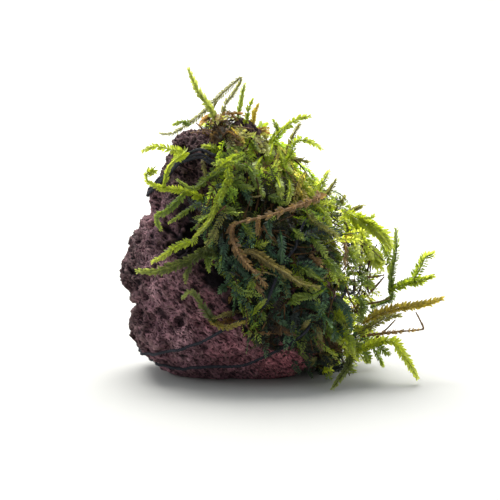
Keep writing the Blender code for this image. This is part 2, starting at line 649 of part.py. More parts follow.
def make_tube(name, points, radius, collection):
    """A round tube along a route, four-sided, with closed ends."""
    curve = bpy.data.curves.new(name + "_route", "CURVE")
    curve.dimensions = "3D"
    curve.bevel_depth = radius * MM
    curve.bevel_resolution = 0
    curve.use_fill_caps = True
    spline = curve.splines.new("POLY")
    spline.points.add(len(points) - 1)
    for point, place in zip(spline.points, points):
        point.co = (*(place * MM), 1)
    obj = bpy.data.objects.new(name + "_route", curve)
    collection.objects.link(obj)
    bm = read_back(obj)
    bpy.data.objects.remove(obj)
    bmesh.ops.remove_doubles(bm, verts=bm.verts, dist=1e-3)
    bmesh.ops.triangulate(bm, faces=bm.faces)
    bmesh.ops.recalc_face_normals(bm, faces=bm.faces)
    return new_object(name, bm, collection)


VIEWER = Vector((0, -1, 0))


def outwards(place):
    """Away from the middle of the rock: mostly level, and upwards above its top."""
    away = place - spine(place.z)
    away.z = 0
    upwards = 0.15 + 3 * ramp(place.z, ROCK_TOP - 5, ROCK_TOP + 2)
    return (away / max(away.length, 1) + Vector((0, 0, upwards))).normalized()


def came_out(route, kind, obstacles):
    """Drops the start of a route that is still inside what the shoot grows from."""
    room = kind[1] / 2 * BASE_SHARE + TOUCHING_GAP
    while len(route) > FEWEST_STEPS and obstacles.clearance(route[0]) < room:
        route = route[1:]
    return route


def turned_square(direction, along):
    """The part of a direction that is square to a shoot."""
    return direction - along * direction.dot(along)


def lozenges(route, kind, swell=0.0):
    """The four corners of a shoot's section at each point of its route, notched and tapered.

    The flat side faces outwards. Where a shoot itself points outwards, it faces the viewer.
    """
    rings = []
    last = len(route) - 1
    face = None
    for index, centre in enumerate(route):
        before, after = route[max(index - 1, 0)], route[min(index + 1, last)]
        along = (after - before).normalized()
        wanted = turned_square(outwards(centre), along) + turned_square(VIEWER, along) * 0.4
        if face is None:
            face = wanted.normalized()
        else:
            face = (turned_square(face, along).normalized() + wanted * 0.5).normalized()
        side = along.cross(face)
        share = 1.0 if index % 2 else NOTCH_SHARE[kind]
        if index == 0:
            share *= BASE_SHARE
        elif index == last:
            share *= TIP_SHARE
        half_width = kind[0] / 2 * share + swell
        half_thick = kind[1] / 2 * max(share, 0.5) + swell
        rings.append((
            centre + side * half_width, centre + face * half_thick,
            centre - side * half_width, centre - face * half_thick,
        ))
    return rings


def touched(route, rings, obstacles):
    """The stretches of a shoot that meet something already made."""
    corners = [corner for ring in rings for corner in ring]
    sides = []
    for index in range(len(rings) - 1):
        low = 4 * index
        for k in range(4):
            ahead = (k + 1) % 4
            sides.append((low + k, low + ahead, low + 4 + ahead, low + 4 + k))
    own = BVHTree.FromPolygons(corners, sides)
    hits = {side // 4 for side, _ in own.overlap(obstacles.tree)}
    return hits | {index for index, place in enumerate(route) if obstacles.clearance(place) < 0}


def clear_route(points, kind, obstacles):
    """A shoot's route, started just outside what it grows from and lifted clear of the rest."""
    fine = came_out(smooth_route(points, FINE_STEP), kind, obstacles)
    trims = BASE_TRIMS
    for _ in range(LIFT_PASSES):
        route = smooth_route(fine, RING_SPACING[kind])
        hits = touched(route, lozenges(route, kind, TOUCHING_GAP), obstacles)
        if not hits:
            break
        if 0 in hits and trims and len(fine) > FEWEST_STEPS:
            fine, trims = fine[1:], trims - 1
            hits.discard(0)
        for hit in hits:
            place = (route[hit] + route[min(hit + 1, len(route) - 1)]) / 2
            for index, point in enumerate(fine):
                near = math.exp(-(((point - place).length / LIFT_REACH) ** 2))
                fine[index] = point + outwards(point) * LIFT_STEP * near
    return route


def make_shoot(name, kind, colour, points, obstacles, collection):
    """A shoot: a flat lozenge bar along its route, notched where leaves spread, drawn to a tip."""
    rings = lozenges(clear_route(points, kind, obstacles), kind)
    bm = bmesh.new()
    corner = bm.verts.layers.int.new("corner")
    verts = bmesh.ops.create_circle(bm, cap_ends=True, segments=4, radius=1)["verts"]
    for number, vert in enumerate(verts):
        vert[corner] = number
    cap = bm.faces[:]
    for index, places in enumerate(rings):
        if index:
            grown = bmesh.ops.extrude_face_region(bm, geom=cap)["geom"]
            if index > 1:
                bmesh.ops.delete(bm, geom=cap, context="FACES_ONLY")
            verts = [part for part in grown if isinstance(part, bmesh.types.BMVert)]
            cap = [part for part in grown if isinstance(part, bmesh.types.BMFace)]
        for vert in verts:
            vert.co = places[vert[corner]]
    bmesh.ops.triangulate(bm, faces=bm.faces)
    bmesh.ops.recalc_face_normals(bm, faces=bm.faces)
    obj = new_object(name, bm, collection)
    paint(obj, colour, 0.6)
    return obj


def paint(obj, colour, roughness):
    """Gives an object its own material."""
    material = bpy.data.materials.new(obj.name + "_colour")
    material.use_nodes = True
    shader = material.node_tree.nodes["Principled BSDF"]
    shader.inputs["Base Color"].default_value = (*colour, 1)
    shader.inputs["Roughness"].default_value = roughness
    shader.inputs["Metallic"].default_value = 0.0
    obj.data.materials.append(material)


def main():
    for obj in list(bpy.data.objects):
        bpy.data.objects.remove(obj)
    parts = bpy.data.collections.new("java_moss_on_lava_rock")
    cutters = bpy.data.collections.new("cutters")
    bpy.context.scene.collection.children.link(parts)
    bpy.context.scene.collection.children.link(cutters)

    rock = make_rock(parts)
    paint(rock, (0.075, 0.042, 0.045), 0.95)
    guide = thread_guide()
    clumps = make_clumps(guide, parts, cutters)
    obstacles = Obstacles()
    obstacles.add(rock)
    for clump in clumps:
        paint(clump, GREEN, 0.7)
        obstacles.add(clump)
    thread = lay_thread(guide, obstacles, parts)
    paint(thread, (0.012, 0.013, 0.017), 0.75)
    obstacles.add(thread)
    for name, kind, colour, points in SHOOTS:
        obstacles.add(make_shoot(name, kind, colour, points, obstacles, parts))


main()
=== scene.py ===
# %% [markdown]
# # Java moss tied to a piece of lava rock
# The real object is a loose block of porous lava rock. Java moss was laid on its right half and
# wound round with dark sewing thread, and it has grown on from there. This lesson dresses the
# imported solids: the rock gets its pores, the thread its twist, and the moss its leaves.

# %% Load the frame
import heapq
import json
import math

import bmesh
import bpy
import numpy as np
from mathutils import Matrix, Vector, noise
from mathutils.bvhtree import BVHTree
from mathutils.kdtree import KDTree


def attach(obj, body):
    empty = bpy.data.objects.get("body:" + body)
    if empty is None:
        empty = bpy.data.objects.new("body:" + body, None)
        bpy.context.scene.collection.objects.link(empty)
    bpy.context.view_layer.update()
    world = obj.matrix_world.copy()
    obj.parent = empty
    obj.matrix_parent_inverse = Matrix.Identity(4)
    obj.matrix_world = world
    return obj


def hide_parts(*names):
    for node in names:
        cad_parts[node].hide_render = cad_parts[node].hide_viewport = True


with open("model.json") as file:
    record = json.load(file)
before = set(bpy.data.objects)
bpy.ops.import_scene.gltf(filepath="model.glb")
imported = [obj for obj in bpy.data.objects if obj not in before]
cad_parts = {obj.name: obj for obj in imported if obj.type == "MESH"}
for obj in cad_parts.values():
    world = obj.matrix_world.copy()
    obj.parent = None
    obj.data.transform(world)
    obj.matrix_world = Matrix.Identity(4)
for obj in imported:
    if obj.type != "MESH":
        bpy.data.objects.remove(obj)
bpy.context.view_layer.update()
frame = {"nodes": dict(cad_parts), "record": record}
slot_of = {part["node"]: part["material_slot"] for part in frame["record"]["subparts"]}
MM = 0.001
print("solids:", len(frame["nodes"]))

# %% [markdown]
# The camera comes first. The photograph looks at the rock from a little above, and near and far
# shoots have nearly the same scale in it, so the camera stands far off with a long lens. A small
# shift puts the rock where it stands in the picture.

# %% Camera
PICTURE_SIDE = 500
FOCUS = Vector((0, 0, 35))
FOCUS_PIXEL = (244.6, 233.2)
CAMERA_DISTANCE = 1000
PIXELS_PER_MM = 3.95
LOOK_DOWN = math.radians(10)
SENSOR = 36

lens = bpy.data.cameras.new("camera")
lens.sensor_width = SENSOR
lens.lens = SENSOR * CAMERA_DISTANCE * PIXELS_PER_MM / PICTURE_SIDE
lens.shift_x = (PICTURE_SIDE / 2 - FOCUS_PIXEL[0]) / PICTURE_SIDE
lens.shift_y = (FOCUS_PIXEL[1] - PICTURE_SIDE / 2) / PICTURE_SIDE
camera = bpy.data.objects.new("camera", lens)
bpy.context.scene.collection.objects.link(camera)
towards_camera = Vector((0, -math.cos(LOOK_DOWN), math.sin(LOOK_DOWN)))
camera.location = (FOCUS + towards_camera * CAMERA_DISTANCE) * MM
camera.rotation_euler = (math.pi / 2 - LOOK_DOWN, 0, 0)
bpy.context.scene.camera = camera
print("lens:", round(lens.lens), "mm")

# %% [markdown]
# The light is that of a white light tent: a large soft lamp above and behind the rock, so that the
# moss on the right glows and the shadow comes forward, a soft lamp at each side, which keeps the
# table bright beside the rock, and little light from the open front. The plain colour transform
# keeps the white table white.

# %% Light
SKY_STRENGTH = 0.43
SKY_COLOUR = (0.93, 0.97, 1.0, 1)
SOFT_LAMPS = (
    # name, place in metres, side in metres, watts, colour
    ("top_lamp", Vector((-0.09, 0.42, 0.70)), 0.8, 21.0, (1.0, 0.985, 0.96)),
    ("left_lamp", Vector((-0.70, 0.05, 0.30)), 0.5, 2.3, (0.94, 0.97, 1.0)),
    ("right_lamp", Vector((0.70, 0.10, 0.30)), 0.5, 2.6, (0.96, 0.98, 1.0)),
)

bpy.context.scene.view_settings.view_transform = "Standard"
world = bpy.data.worlds.new("studio")
world.use_nodes = True
background = world.node_tree.nodes["Background"]
background.inputs["Color"].default_value = SKY_COLOUR
background.inputs["Strength"].default_value = SKY_STRENGTH
bpy.context.scene.world = world


def soft_lamp(name, place, side, power, colour):
    """A square lamp that looks at the middle of the rock."""
    light = bpy.data.lights.new(name, "AREA")
    light.size = side
    light.energy = power
    light.color = colour
    lamp = bpy.data.objects.new(name, light)
    lamp.location = place
    lamp.rotation_mode = "QUATERNION"
    lamp.rotation_quaternion = (FOCUS * MM - place).to_track_quat("-Z", "Y")
    bpy.context.scene.collection.objects.link(lamp)


for lamp_settings in SOFT_LAMPS:
    soft_lamp(*lamp_settings)
print("lamps:", len(SOFT_LAMPS))

# %% [markdown]
# A finish is a tree of nodes, and built by hand it takes many lines. A small class keeps the calls
# short: each one adds a node and gives the socket that the next one reads. Every pattern reads
# Object coordinates, turned into millimetres, so it has its real size and stays on its piece.


# %% Short calls for finishes
class Finish:
    """A new material, and calls that add nodes to it."""

    def __init__(self, name):
        self.material = bpy.data.materials.new(name)
        self.material.use_nodes = True
        self.tree = self.material.node_tree
        self.shader = self.tree.nodes["Principled BSDF"]
        place = self.add("TexCoord", output="Object")
        self.place = self.add("Mapping", {"Vector": place, "Scale": (1 / MM,) * 3})

    def join(self, node, inputs):
        """Sets inputs of a node, each to a value or to another node's output."""
        for name, value in inputs.items():
            if isinstance(value, bpy.types.NodeSocket):
                self.tree.links.new(value, node.inputs[name])
            else:
                node.inputs[name].default_value = value

    def add(self, kind, inputs=None, output=0, **settings):
        """A new node, of which one output is given back."""
        node = self.tree.nodes.new("ShaderNode" + kind)
        for name, value in settings.items():
            setattr(node, name, value)
        self.join(node, inputs or {})
        return node.outputs[output]

    def noise(self, place, scale, detail, roughness=0.5, output="Fac"):
        inputs = {"Vector": place, "Scale": scale, "Detail": detail, "Roughness": roughness}
        return self.add("TexNoise", inputs, output)

    def steps(self, value, *steps):
        """A colour for a value, from pairs of a position and a colour."""
        ramp = self.add("ValToRGB", {"Fac": value})
        elements = ramp.node.color_ramp.elements
        while len(elements) < len(steps):
            elements.new(0.5)
        for element, (position, colour) in zip(elements, steps):
            element.position = position
            element.color = (*colour, 1)
        return ramp

    def mix(self, share, first, second, blend="MIX"):
        inputs = {0: share, 6: first, 7: second}
        return self.add("Mix", inputs, 2, data_type="RGBA", blend_type=blend)

    def maths(self, operation, *values):
        return self.add("Math", dict(enumerate(values)), operation=operation)

    def kept(self, name, output="Fac"):
        """A number or colour that is kept with each point of the mesh."""
        return self.add("Attribute", output=output, attribute_name=name)

    def surface(self, colour, height, strength, distance, roughness, specular):
        """The colour of the surface, its bumps and its shine."""
        bump = self.add("Bump", {"Height": height, "Strength": strength, "Distance": distance})
        self.join(self.shader, {"Base Color": colour, "Normal": bump, "Roughness": roughness,
                                "Specular IOR Level": specular})


# %% [markdown]
# The table and the wall behind it are plain and pale. The wall shines a little by itself, as a lit
# paper background does, so that it stays white however far it is from the lamp.

# %% Table and background
SHEET_SIDE = 5.0
WALL_DISTANCE = 1.1
SHEETS = (
    # name, place in metres, turn, colour, glow
    ("table", (0, 0, 0), 0, (0.413, 0.415, 0.402), 0),
    ("wall", (0, WALL_DISTANCE, 0), math.pi / 2, (0.9, 0.9, 0.9), 0.9),
)
PAPER_GRAIN, GRAIN_SHADE = 0.04, 0.985


def paper(name, colour, glow):
    """A dull, nearly even finish that may shine by itself."""
    finish = Finish(name)
    grain = finish.noise(finish.place, PAPER_GRAIN, 2)
    tone = finish.steps(grain, (0, [GRAIN_SHADE * part for part in colour]), (1, colour))
    finish.join(finish.shader, {"Base Color": tone, "Roughness": 0.9, "Specular IOR Level": 0.1,
                                "Emission Color": (1, 1, 1, 1), "Emission Strength": glow})
    return finish.material


for name, place, turn, colour, glow in SHEETS:
    bm = bmesh.new()
    bmesh.ops.create_grid(bm, x_segments=1, y_segments=1, size=SHEET_SIDE / 2)
    mesh = bpy.data.meshes.new(name)
    bm.to_mesh(mesh)
    bm.free()
    mesh.materials.append(paper("white_" + name, colour, glow))
    sheet = bpy.data.objects.new(name, mesh)
    sheet.location = place
    sheet.rotation_euler = (turn, 0, 0)
    bpy.context.scene.collection.objects.link(sheet)
print("stage:", len(SHEETS), "sheets")

# %% [markdown]
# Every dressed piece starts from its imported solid. The solid's mesh is loose triangles, so a copy
# of it is merged before it is read. All shapes are worked out in millimetres and become metres
# when their mesh is made. Chance and noise have fixed seeds, so every run makes the same moss.


# %% Reading the solids
NOISE_SEED = 11

noise.seed_set(NOISE_SEED)


def merged_copy(node):
    """A copy of a solid's mesh in millimetres, with its loose triangles joined."""
    bm = bmesh.new()
    bm.from_mesh(frame["nodes"][node].data)
    bmesh.ops.scale(bm, vec=(1 / MM, 1 / MM, 1 / MM), verts=bm.verts)
    bmesh.ops.remove_doubles(bm, verts=bm.verts, dist=1e-3)
    bm.verts.ensure_lookup_table()
    return bm


def unit(vectors):
    """Vectors of length one."""
    return vectors / np.maximum(np.linalg.norm(vectors, axis=-1, keepdims=True), 1e-9)


def square_to(vectors, axis):
    """The parts of some vectors that are square to an axis of length one."""
    return vectors - axis * np.sum(vectors * axis, axis=-1, keepdims=True)


def share_between(value, start, full):
    """0 before a start, 1 from where it is full, and a straight rise between."""
    return np.clip((value - start) / (full - start), 0, 1)


def lookup_of(points):
    """A tree that finds the points near a place."""
    lookup = KDTree(len(points))
    for index, point in enumerate(points):
        lookup.insert(point, index)
    lookup.balance()
    return lookup


def finish_piece(name, mesh, *nodes, slot=None):
    """Makes a piece that rides on the rock, in place of the solids that it dresses."""
    piece = bpy.data.objects.new(name, mesh)
    bpy.context.scene.collection.objects.link(piece)
    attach(piece, "root")
    if nodes:
        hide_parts(*nodes)


MOSS_NODES = ("moss_crown", "moss_front", "moss_right_upper", "moss_right_lower", "moss_back")
rock_solid = merged_copy("lava_rock")
rock_tree = BVHTree.FromBMesh(rock_solid)
print("rock solid:", len(rock_solid.faces), "triangles")

# %% [markdown]
# ## The rock
# Lava that froze while it foamed is full of pores of every size, drawn out where it flowed. The
# solid has the large ones. Painting the small ones on would leave a smooth outline, so the skin is
# remeshed finely and the pores are pressed into it.

# %% Rock skin
SKIN_STEP = 0.40
FACET_ROUNDS, FACET_ROUNDING = 4, 0.5
FLOW_DOWN = Vector((0.77, 0.0, -0.64))
FLOW_ACROSS = Vector((0.64, 0.0, 0.77))

skin = bpy.data.meshes.new("rock_skin")
bmesh.ops.triangulate(rock_solid, faces=rock_solid.faces)
rock_solid.to_mesh(skin)
rough = bpy.data.objects.new("rock_rough", skin)
bpy.context.scene.collection.objects.link(rough)
fine = rough.modifiers.new("fine_skin", "REMESH")
fine.mode = "VOXEL"
fine.voxel_size = SKIN_STEP
rounding = rough.modifiers.new("rounding", "SMOOTH")
rounding.factor = FACET_ROUNDING
rounding.iterations = FACET_ROUNDS
evaluated = rough.evaluated_get(bpy.context.evaluated_depsgraph_get())
skin = bpy.data.meshes.new_from_object(evaluated)
bpy.data.objects.remove(rough)
print("rock skin:", len(skin.polygons), "faces")

# %% [markdown]
# The relief has four layers: slow lumps, sharp ribs drawn out along the flow, foam cells with thin
# walls, and single pores. Ribs with sharp crests come from noise folded at zero. The foam comes
# from the distance to the border between two cells, and is deepest on the knob and the left edge,
# which look like burnt sugar.

# %% Rock relief
ROCK_SEED = 12
WAVER_SIZE, WAVER = 4.5, (1.1, 0.9, 0.8)
RIBS = (
    # length, width and depth in mm, shift of the noise, height in mm
    ((8, 2.5, 4), 0, 1.3),
    ((3.4, 1.05, 1.9), 9, 1.15),
)
RIB_FOLD = 0.2
LUMP_SIZE, LUMP_SHIFT, LUMP_HEIGHT = 3.2, Vector((3, 3, 3)), 0.45
GRIT_SIZE, GRIT_HEIGHT = (1.3, 0.62, 0.7), 0.34
FOAM_CELL = (1.6, 1.05, 1.2)
FOAM_WALL = 0.42
FOAM_DEPTH, FOAM_BOWL = 0.8, 1.3
FOAMY_PATCH, PATCH_SHIFT = 5, Vector((0, 7, 0))
FOAMY_ABOVE, FOAMY_LEFT_OF = 38, -20
LEAST_FOAM = 0.06


def read_points(mesh, what):
    """The places or normals of a mesh's points, one row each."""
    flat = np.empty(len(mesh.vertices) * 3, np.float32)
    mesh.vertices.foreach_get(what, flat)
    return flat.reshape(-1, 3).astype(float)


def flow_place(place):
    """A point measured along the flow, across it and in depth, with a slow waver."""
    waver = noise.noise_vector(place / WAVER_SIZE)
    straight = (place.dot(FLOW_DOWN), place.dot(FLOW_ACROSS), place.y)
    return [reach + most * share for reach, most, share in zip(straight, WAVER, waver)]


def flow_noise(flow, sizes, shift=0):
    """Noise with one size along the flow, one across it and one in depth."""
    along, across, deep = (reach / size for reach, size in zip(flow, sizes))
    return noise.noise(Vector((along, across, deep + shift)))


def ribs(place):
    """Lumps and flow ribs at one point of the rock, in millimetres."""
    flow = flow_place(place)
    height = 0.0
    for sizes, shift, rise in RIBS:
        height += rise * (RIB_FOLD - abs(flow_noise(flow, sizes, shift)))
    height += LUMP_HEIGHT * noise.noise(place / LUMP_SIZE + LUMP_SHIFT)
    return height + GRIT_HEIGHT * flow_noise(flow, GRIT_SIZE)


def foam(place):
    """How deep one point lies in a foam cell: 0 on a wall, 1 well inside."""
    cell = Vector([reach / size for reach, size in zip(flow_place(place), FOAM_CELL)])
    near, next_near = noise.voronoi(cell)[0][:2]
    return min((next_near - near) / FOAM_WALL, 1)


def porous(place):
    """How foamy the stone is at one point, from 0 to 1."""
    patch = 0.22 + 1.25 * noise.noise(place / FOAMY_PATCH + PATCH_SHIFT)
    knob = (place.z - FOAMY_ABOVE) / 8
    left_edge = (FOAMY_LEFT_OF - place.x) / 6 * (0.75 + noise.noise(place / 8))
    return min(max(patch, knob, left_edge, LEAST_FOAM), 1)


skin_places = read_points(skin, "co")
skin_normals = read_points(skin, "normal")
skin_vectors = [Vector(place) for place in skin_places]
relief = np.array([ribs(place) for place in skin_vectors])
pore_depth = FOAM_DEPTH * np.array([foam(place) * porous(place) for place in skin_vectors]) ** FOAM_BOWL
print("relief:", round(float(relief.min()), 2), "to", round(float(relief.max()), 2), "mm")

# %% [markdown]
# Single pores are bowls, pressed into the skin at random places, and at those where the photograph
# shows a large one. They are drawn out along the flow. The one long crest at the lower left is
# raised along a given line.

# %% Pores and crest
PORE_COUNT = 900
PORE_RADIUS = (0.35, 1.15)
PORE_SHARPNESS = 2.6
DRAWN_OUT, LARGE_DRAWN_OUT = 1.9, 1.5
PORE_WAVE, PORE_RAGGED = 1.1, 0.45
LARGE_PORES = (
    # place in mm, radius in mm, depth as a share of the radius
    ((-28.5, -8, 23), 2.6, 0.6), ((-23.5, -15, 22), 1.0, 0.8), ((-15.8, -20, 16.2), 1.2, 0.8),
    ((-11.8, -21, 24.8), 1.0, 0.8), ((-25, -10, 4), 1.0, 0.8), ((-15.6, -22, 39.5), 4.6, 0.6),
    ((-16.5, -22, 45), 2.6, 0.5), ((-7, -22, 27), 4.0, 0.35), ((-3.5, -22, 21), 3.4, 0.35),
    ((-9.5, -22, 40), 4.6, 0.5),
    ((-19.5, -18, 12), 1.3, 0.5), ((-27.5, -10, 15), 1.2, 0.5),
)
CREST_LINE = ((-28.5, -12, 19.5), (-27, -14, 15), (-23.5, -17, 11), (-19.5, -19, 8.5))
CREST_HEIGHT, CREST_REACH = 1.6, 1.1
FOOT_HEIGHT = 1.5
skin_lookup = lookup_of(skin_places)


def press_pore(centre, radius, drawn_out, depth):
    """Presses one bowl into the skin."""
    for place, near, _ in skin_lookup.find_range(centre, radius * drawn_out):
        offset = place - centre
        drawn = offset.dot(FLOW_DOWN) * (1 - 1 / drawn_out)
        ragged = 1 + PORE_RAGGED * noise.noise(place * PORE_WAVE)
        share = min((offset - FLOW_DOWN * drawn).length / radius * ragged, 1)
        pore_depth[near] = max(pore_depth[near], depth * radius * (1 - share ** PORE_SHARPNESS))


rng = np.random.default_rng(ROCK_SEED)
for index in rng.integers(0, len(skin_places), PORE_COUNT):
    radius = PORE_RADIUS[0] + (PORE_RADIUS[1] - PORE_RADIUS[0]) * rng.random() ** 4
    press_pore(skin_vectors[index], radius, DRAWN_OUT, 1.0)
for centre, radius, depth in LARGE_PORES:
    press_pore(rock_tree.find_nearest(Vector(centre))[0], radius, LARGE_DRAWN_OUT, depth)
ridge = np.zeros(len(skin_places))
for start, end in zip(CREST_LINE, CREST_LINE[1:]):
    for share in np.linspace(0, 1, 10):
        top = rock_tree.find_nearest(Vector(start).lerp(Vector(end), share))[0]
        for _, near, gap in skin_lookup.find_range(top, CREST_REACH * 2):
            ridge[near] = max(ridge[near], CREST_HEIGHT * math.exp(-((gap / CREST_REACH) ** 2)))
standing = share_between(skin_places[:, 2], 0, FOOT_HEIGHT)
skin_height = (relief + ridge - pore_depth) * standing
skin_moved = skin_places + skin_normals * skin_height[:, None]
skin_moved[:, 2] = np.maximum(skin_moved[:, 2], 0)
skin.vertices.foreach_set("co", (skin_moved * MM).astype(np.float32).ravel())
print("deepest pore:", round(float(pore_depth.max()), 2), "mm")


# %% [markdown]
# Five numbers are kept with each point of the skin for its colour: how far it lies below its
# surroundings or how far above them, how red the stone is there, how burnt, and how much painted
# shade falls on it. Depth below the surroundings paints shade into pores and cracks, and height
# above them a painted highlight onto the sharp crests. The fresh break at the lower right is brick
# red, the knob and the left edge are burnt dark, and the stone under the crown's overhang is
# painted dark as shade.

# %% Rock colour numbers
SURROUNDINGS = 10
# depths and heights at which the painted shade in pores and cracks and the painted highlight on crests
# are full
CREST_RISE, CREVICE_DEPTH = 0.42, 0.45
CREVICE_SHARE, DARK_PORE, PORE_RIM = 0.9, 0.9, 0.1
RED_PLACES = (
    # place in mm, reach in mm, how red
    ((13, -19, 5), 12, 1.0), ((-6, -20, 22), 9, 0.45), ((-2, -22, 8), 8, 0.45),
)
BURNT_ABOVE, BURNT_LEFT_OF, BURNT_EDGE = 42, -22, 6
# places of the painted shade under the crown's overhang: place in mm, reach in mm
OVERHANG_SHADE_PLACES = (((-10, -20, 35), 9), ((-4, -22, 28), 9), ((-15, -16, 43), 6), ((-21, -15, 37), 5))


def spread_out(mesh, values, passes):
    """Values averaged with those of the neighbouring points, several times."""
    ends = np.empty(len(mesh.edges) * 2, np.int32)
    mesh.edges.foreach_get("vertices", ends)
    first, second = ends.reshape(-1, 2).T
    size = len(values)
    neighbours = 1 + np.bincount(first, minlength=size) + np.bincount(second, minlength=size)
    for _ in range(passes):
        values = (values + np.bincount(first, values[second], size)
                  + np.bincount(second, values[first], size)) / neighbours
    return values


def spots(centre, reach, most=1.0):
    """How near each point of the skin is to a place, from 0 to 1."""
    away = np.linalg.norm(skin_places - np.array(centre), axis=1)
    return most * np.exp(-((away / reach) ** 4))


standing_out = skin_height - spread_out(skin, skin_height, SURROUNDINGS)
# painted shade in cracks as well as in pores
crevice = np.clip(-standing_out / CREVICE_DEPTH, 0, 1) * CREVICE_SHARE
burnt_knob = share_between(skin_places[:, 2], BURNT_ABOVE, BURNT_ABOVE + BURNT_EDGE)
burnt_left = share_between(skin_places[:, 0], BURNT_LEFT_OF, BURNT_LEFT_OF - BURNT_EDGE)
skin_numbers = {
    # painted shade under the crown's overhang
    "overhang_shade": np.max([spots(*place) for place in OVERHANG_SHADE_PLACES], axis=0),
    # painted shade in pores and cracks
    "pore_and_crack_shade": np.clip(np.maximum(pore_depth / DARK_PORE - PORE_RIM, crevice), 0, 1),
    "redness": np.max([spots(*place) for place in RED_PLACES], axis=0),
    # how far a point stands above its surroundings, for the painted highlight on crests
    "crest": np.clip(standing_out / CREST_RISE, 0, 1),
    "burnt": np.maximum(burnt_knob, burnt_left),
}
for name, values in skin_numbers.items():
    layer = skin.attributes.new(name, "FLOAT", "POINT")
    layer.data.foreach_set("value", values.astype(np.float32))
    print(name, round(float(values.mean()), 2), "on average")

# %% [markdown]
# The stone's colour is mixed from noise at the real scale and from those five numbers. Pores too
# small for the mesh are a Voronoi pattern in the colour, where their dark middles are painted shade,
# and in the bump, stretched along the flow.

# %% Rock finish
FLOW_ANGLE = math.radians(-40)
FLOW_BEND = (2.2, 2.2, 2.2)
RED_STONE = (0.350, 0.130, 0.155, 1)
BURNT_STONE, BURNT_MOST = (0.076, 0.043, 0.046, 1), 0.8
# painted highlight on the sharp crests, duller on the burnt stone
PALE_CREST_HIGHLIGHT, BURNT_CREST_HIGHLIGHT, CREST_HIGHLIGHT_MOST = (0.275, 0.168, 0.162, 1), (0.165, 0.112, 0.104, 1), 0.62
# painted shade that falls on the stone under the crown's overhang
OVERHANG_SHADE_COLOUR, OVERHANG_SHADE_MOST = (0.020, 0.012, 0.017, 1), 0.62
# painted shade in pores and cracks
PORE_AND_CRACK_SHADE_COLOUR = (0.012, 0.007, 0.010, 1)
PATTERN_SHARE = 0.9

stone = Finish("lava_stone")
turned = stone.add("Mapping", {"Vector": stone.place, "Rotation": (0, FLOW_ANGLE, 0)})
waver = stone.noise(turned, 0.45, 2.0, output="Color")
bent = stone.add("VectorMath", {0: waver, 1: FLOW_BEND, 2: turned}, operation="MULTIPLY_ADD")
flow = stone.add("Mapping", {"Vector": bent, "Scale": (0.38, 0.85, 1.2)})
cells = stone.add("Mapping", {"Vector": bent, "Scale": (0.75, 0.9, 1.2)})
grain = stone.noise(flow, 1.5, 6.0, 0.66)
border = stone.add(
    "TexVoronoi", {"Vector": cells, "Scale": 1.3}, "Distance", feature="DISTANCE_TO_EDGE")
burnt = stone.kept("burnt")
wall = stone.maths("MULTIPLY_ADD", burnt, -0.16, 0.46)
cell_size = stone.maths("MULTIPLY", stone.noise(stone.place, 0.5, 3.0), wall)
# tiny pores: dark middles as painted shade, and the same pattern in the bump
small_pores = stone.steps(
    stone.maths("SUBTRACT", border, cell_size),
    (0.0, (1.3, 1.25, 1.2)), (0.03, (0.65, 0.62, 0.64)), (0.09, (0.10, 0.08, 0.10)))
streak = stone.steps(
    grain, (0.38, (0.22, 0.18, 0.21)), (0.50, (0.85, 0.83, 0.84)), (0.64, (2.0, 1.95, 1.9)))
colour = stone.steps(
    stone.noise(stone.place, 0.16, 5.0),
    (0.36, (0.145, 0.075, 0.096)), (0.52, (0.226, 0.121, 0.150)), (0.66, (0.308, 0.184, 0.214)))
colour = stone.mix(stone.kept("redness"), colour, RED_STONE)
colour = stone.mix(stone.maths("MULTIPLY", burnt, BURNT_MOST), colour, BURNT_STONE)
colour = stone.mix(PATTERN_SHARE, colour, streak, "MULTIPLY")
colour = stone.mix(PATTERN_SHARE, colour, small_pores, "MULTIPLY")
# painted highlight on the crests
crest_highlight = stone.maths("MULTIPLY", stone.maths("POWER", stone.kept("crest"), 1.4), CREST_HIGHLIGHT_MOST)
colour = stone.mix(crest_highlight, colour, stone.mix(burnt, PALE_CREST_HIGHLIGHT, BURNT_CREST_HIGHLIGHT))
# painted shade under the crown's overhang
colour = stone.mix(stone.maths("MULTIPLY", stone.kept("overhang_shade"), OVERHANG_SHADE_MOST), colour, OVERHANG_SHADE_COLOUR)
# painted shade in pores and cracks
colour = stone.mix(stone.kept("pore_and_crack_shade"), colour, PORE_AND_CRACK_SHADE_COLOUR)
stone.surface(colour, stone.maths("ADD", grain, small_pores), 1.0, 0.0005, 0.86, 0.2)

skin.materials.clear()
skin.materials.append(stone.material)
skin.polygons.foreach_set("use_smooth", np.ones(len(skin.polygons), bool))
skin.update()
finish_piece("rock_skin", skin, "lava_rock")
print("rock finish:", len(stone.tree.nodes), "nodes")

# %% [markdown]
# ## Growing moss
# A shoot of java moss is a wiry stem with leaves a millimetre long in two flat rows, like a
# feather. There are thousands of shoots, so a leaf is modelled once and joined copies of it are
# laid out with arrays. A leaf is a pointed blade with its rim bent up from the midrib.


# %% Leaf and stem shapes
MIDRIB = (0, 0.42, -0.05)
NARROWING, RIM_RISE, TIP_RISE = 0.45, 0.22, 0.16


def read_shape(bm):
    """Points and triangles of a small shape."""
    bmesh.ops.triangulate(bm, faces=bm.faces)
    points = np.array([vert.co for vert in bm.verts])
    bm.verts.index_update()
    tris = np.array([[vert.index for vert in face.verts] for face in bm.faces])
    bm.free()
    return points, tris


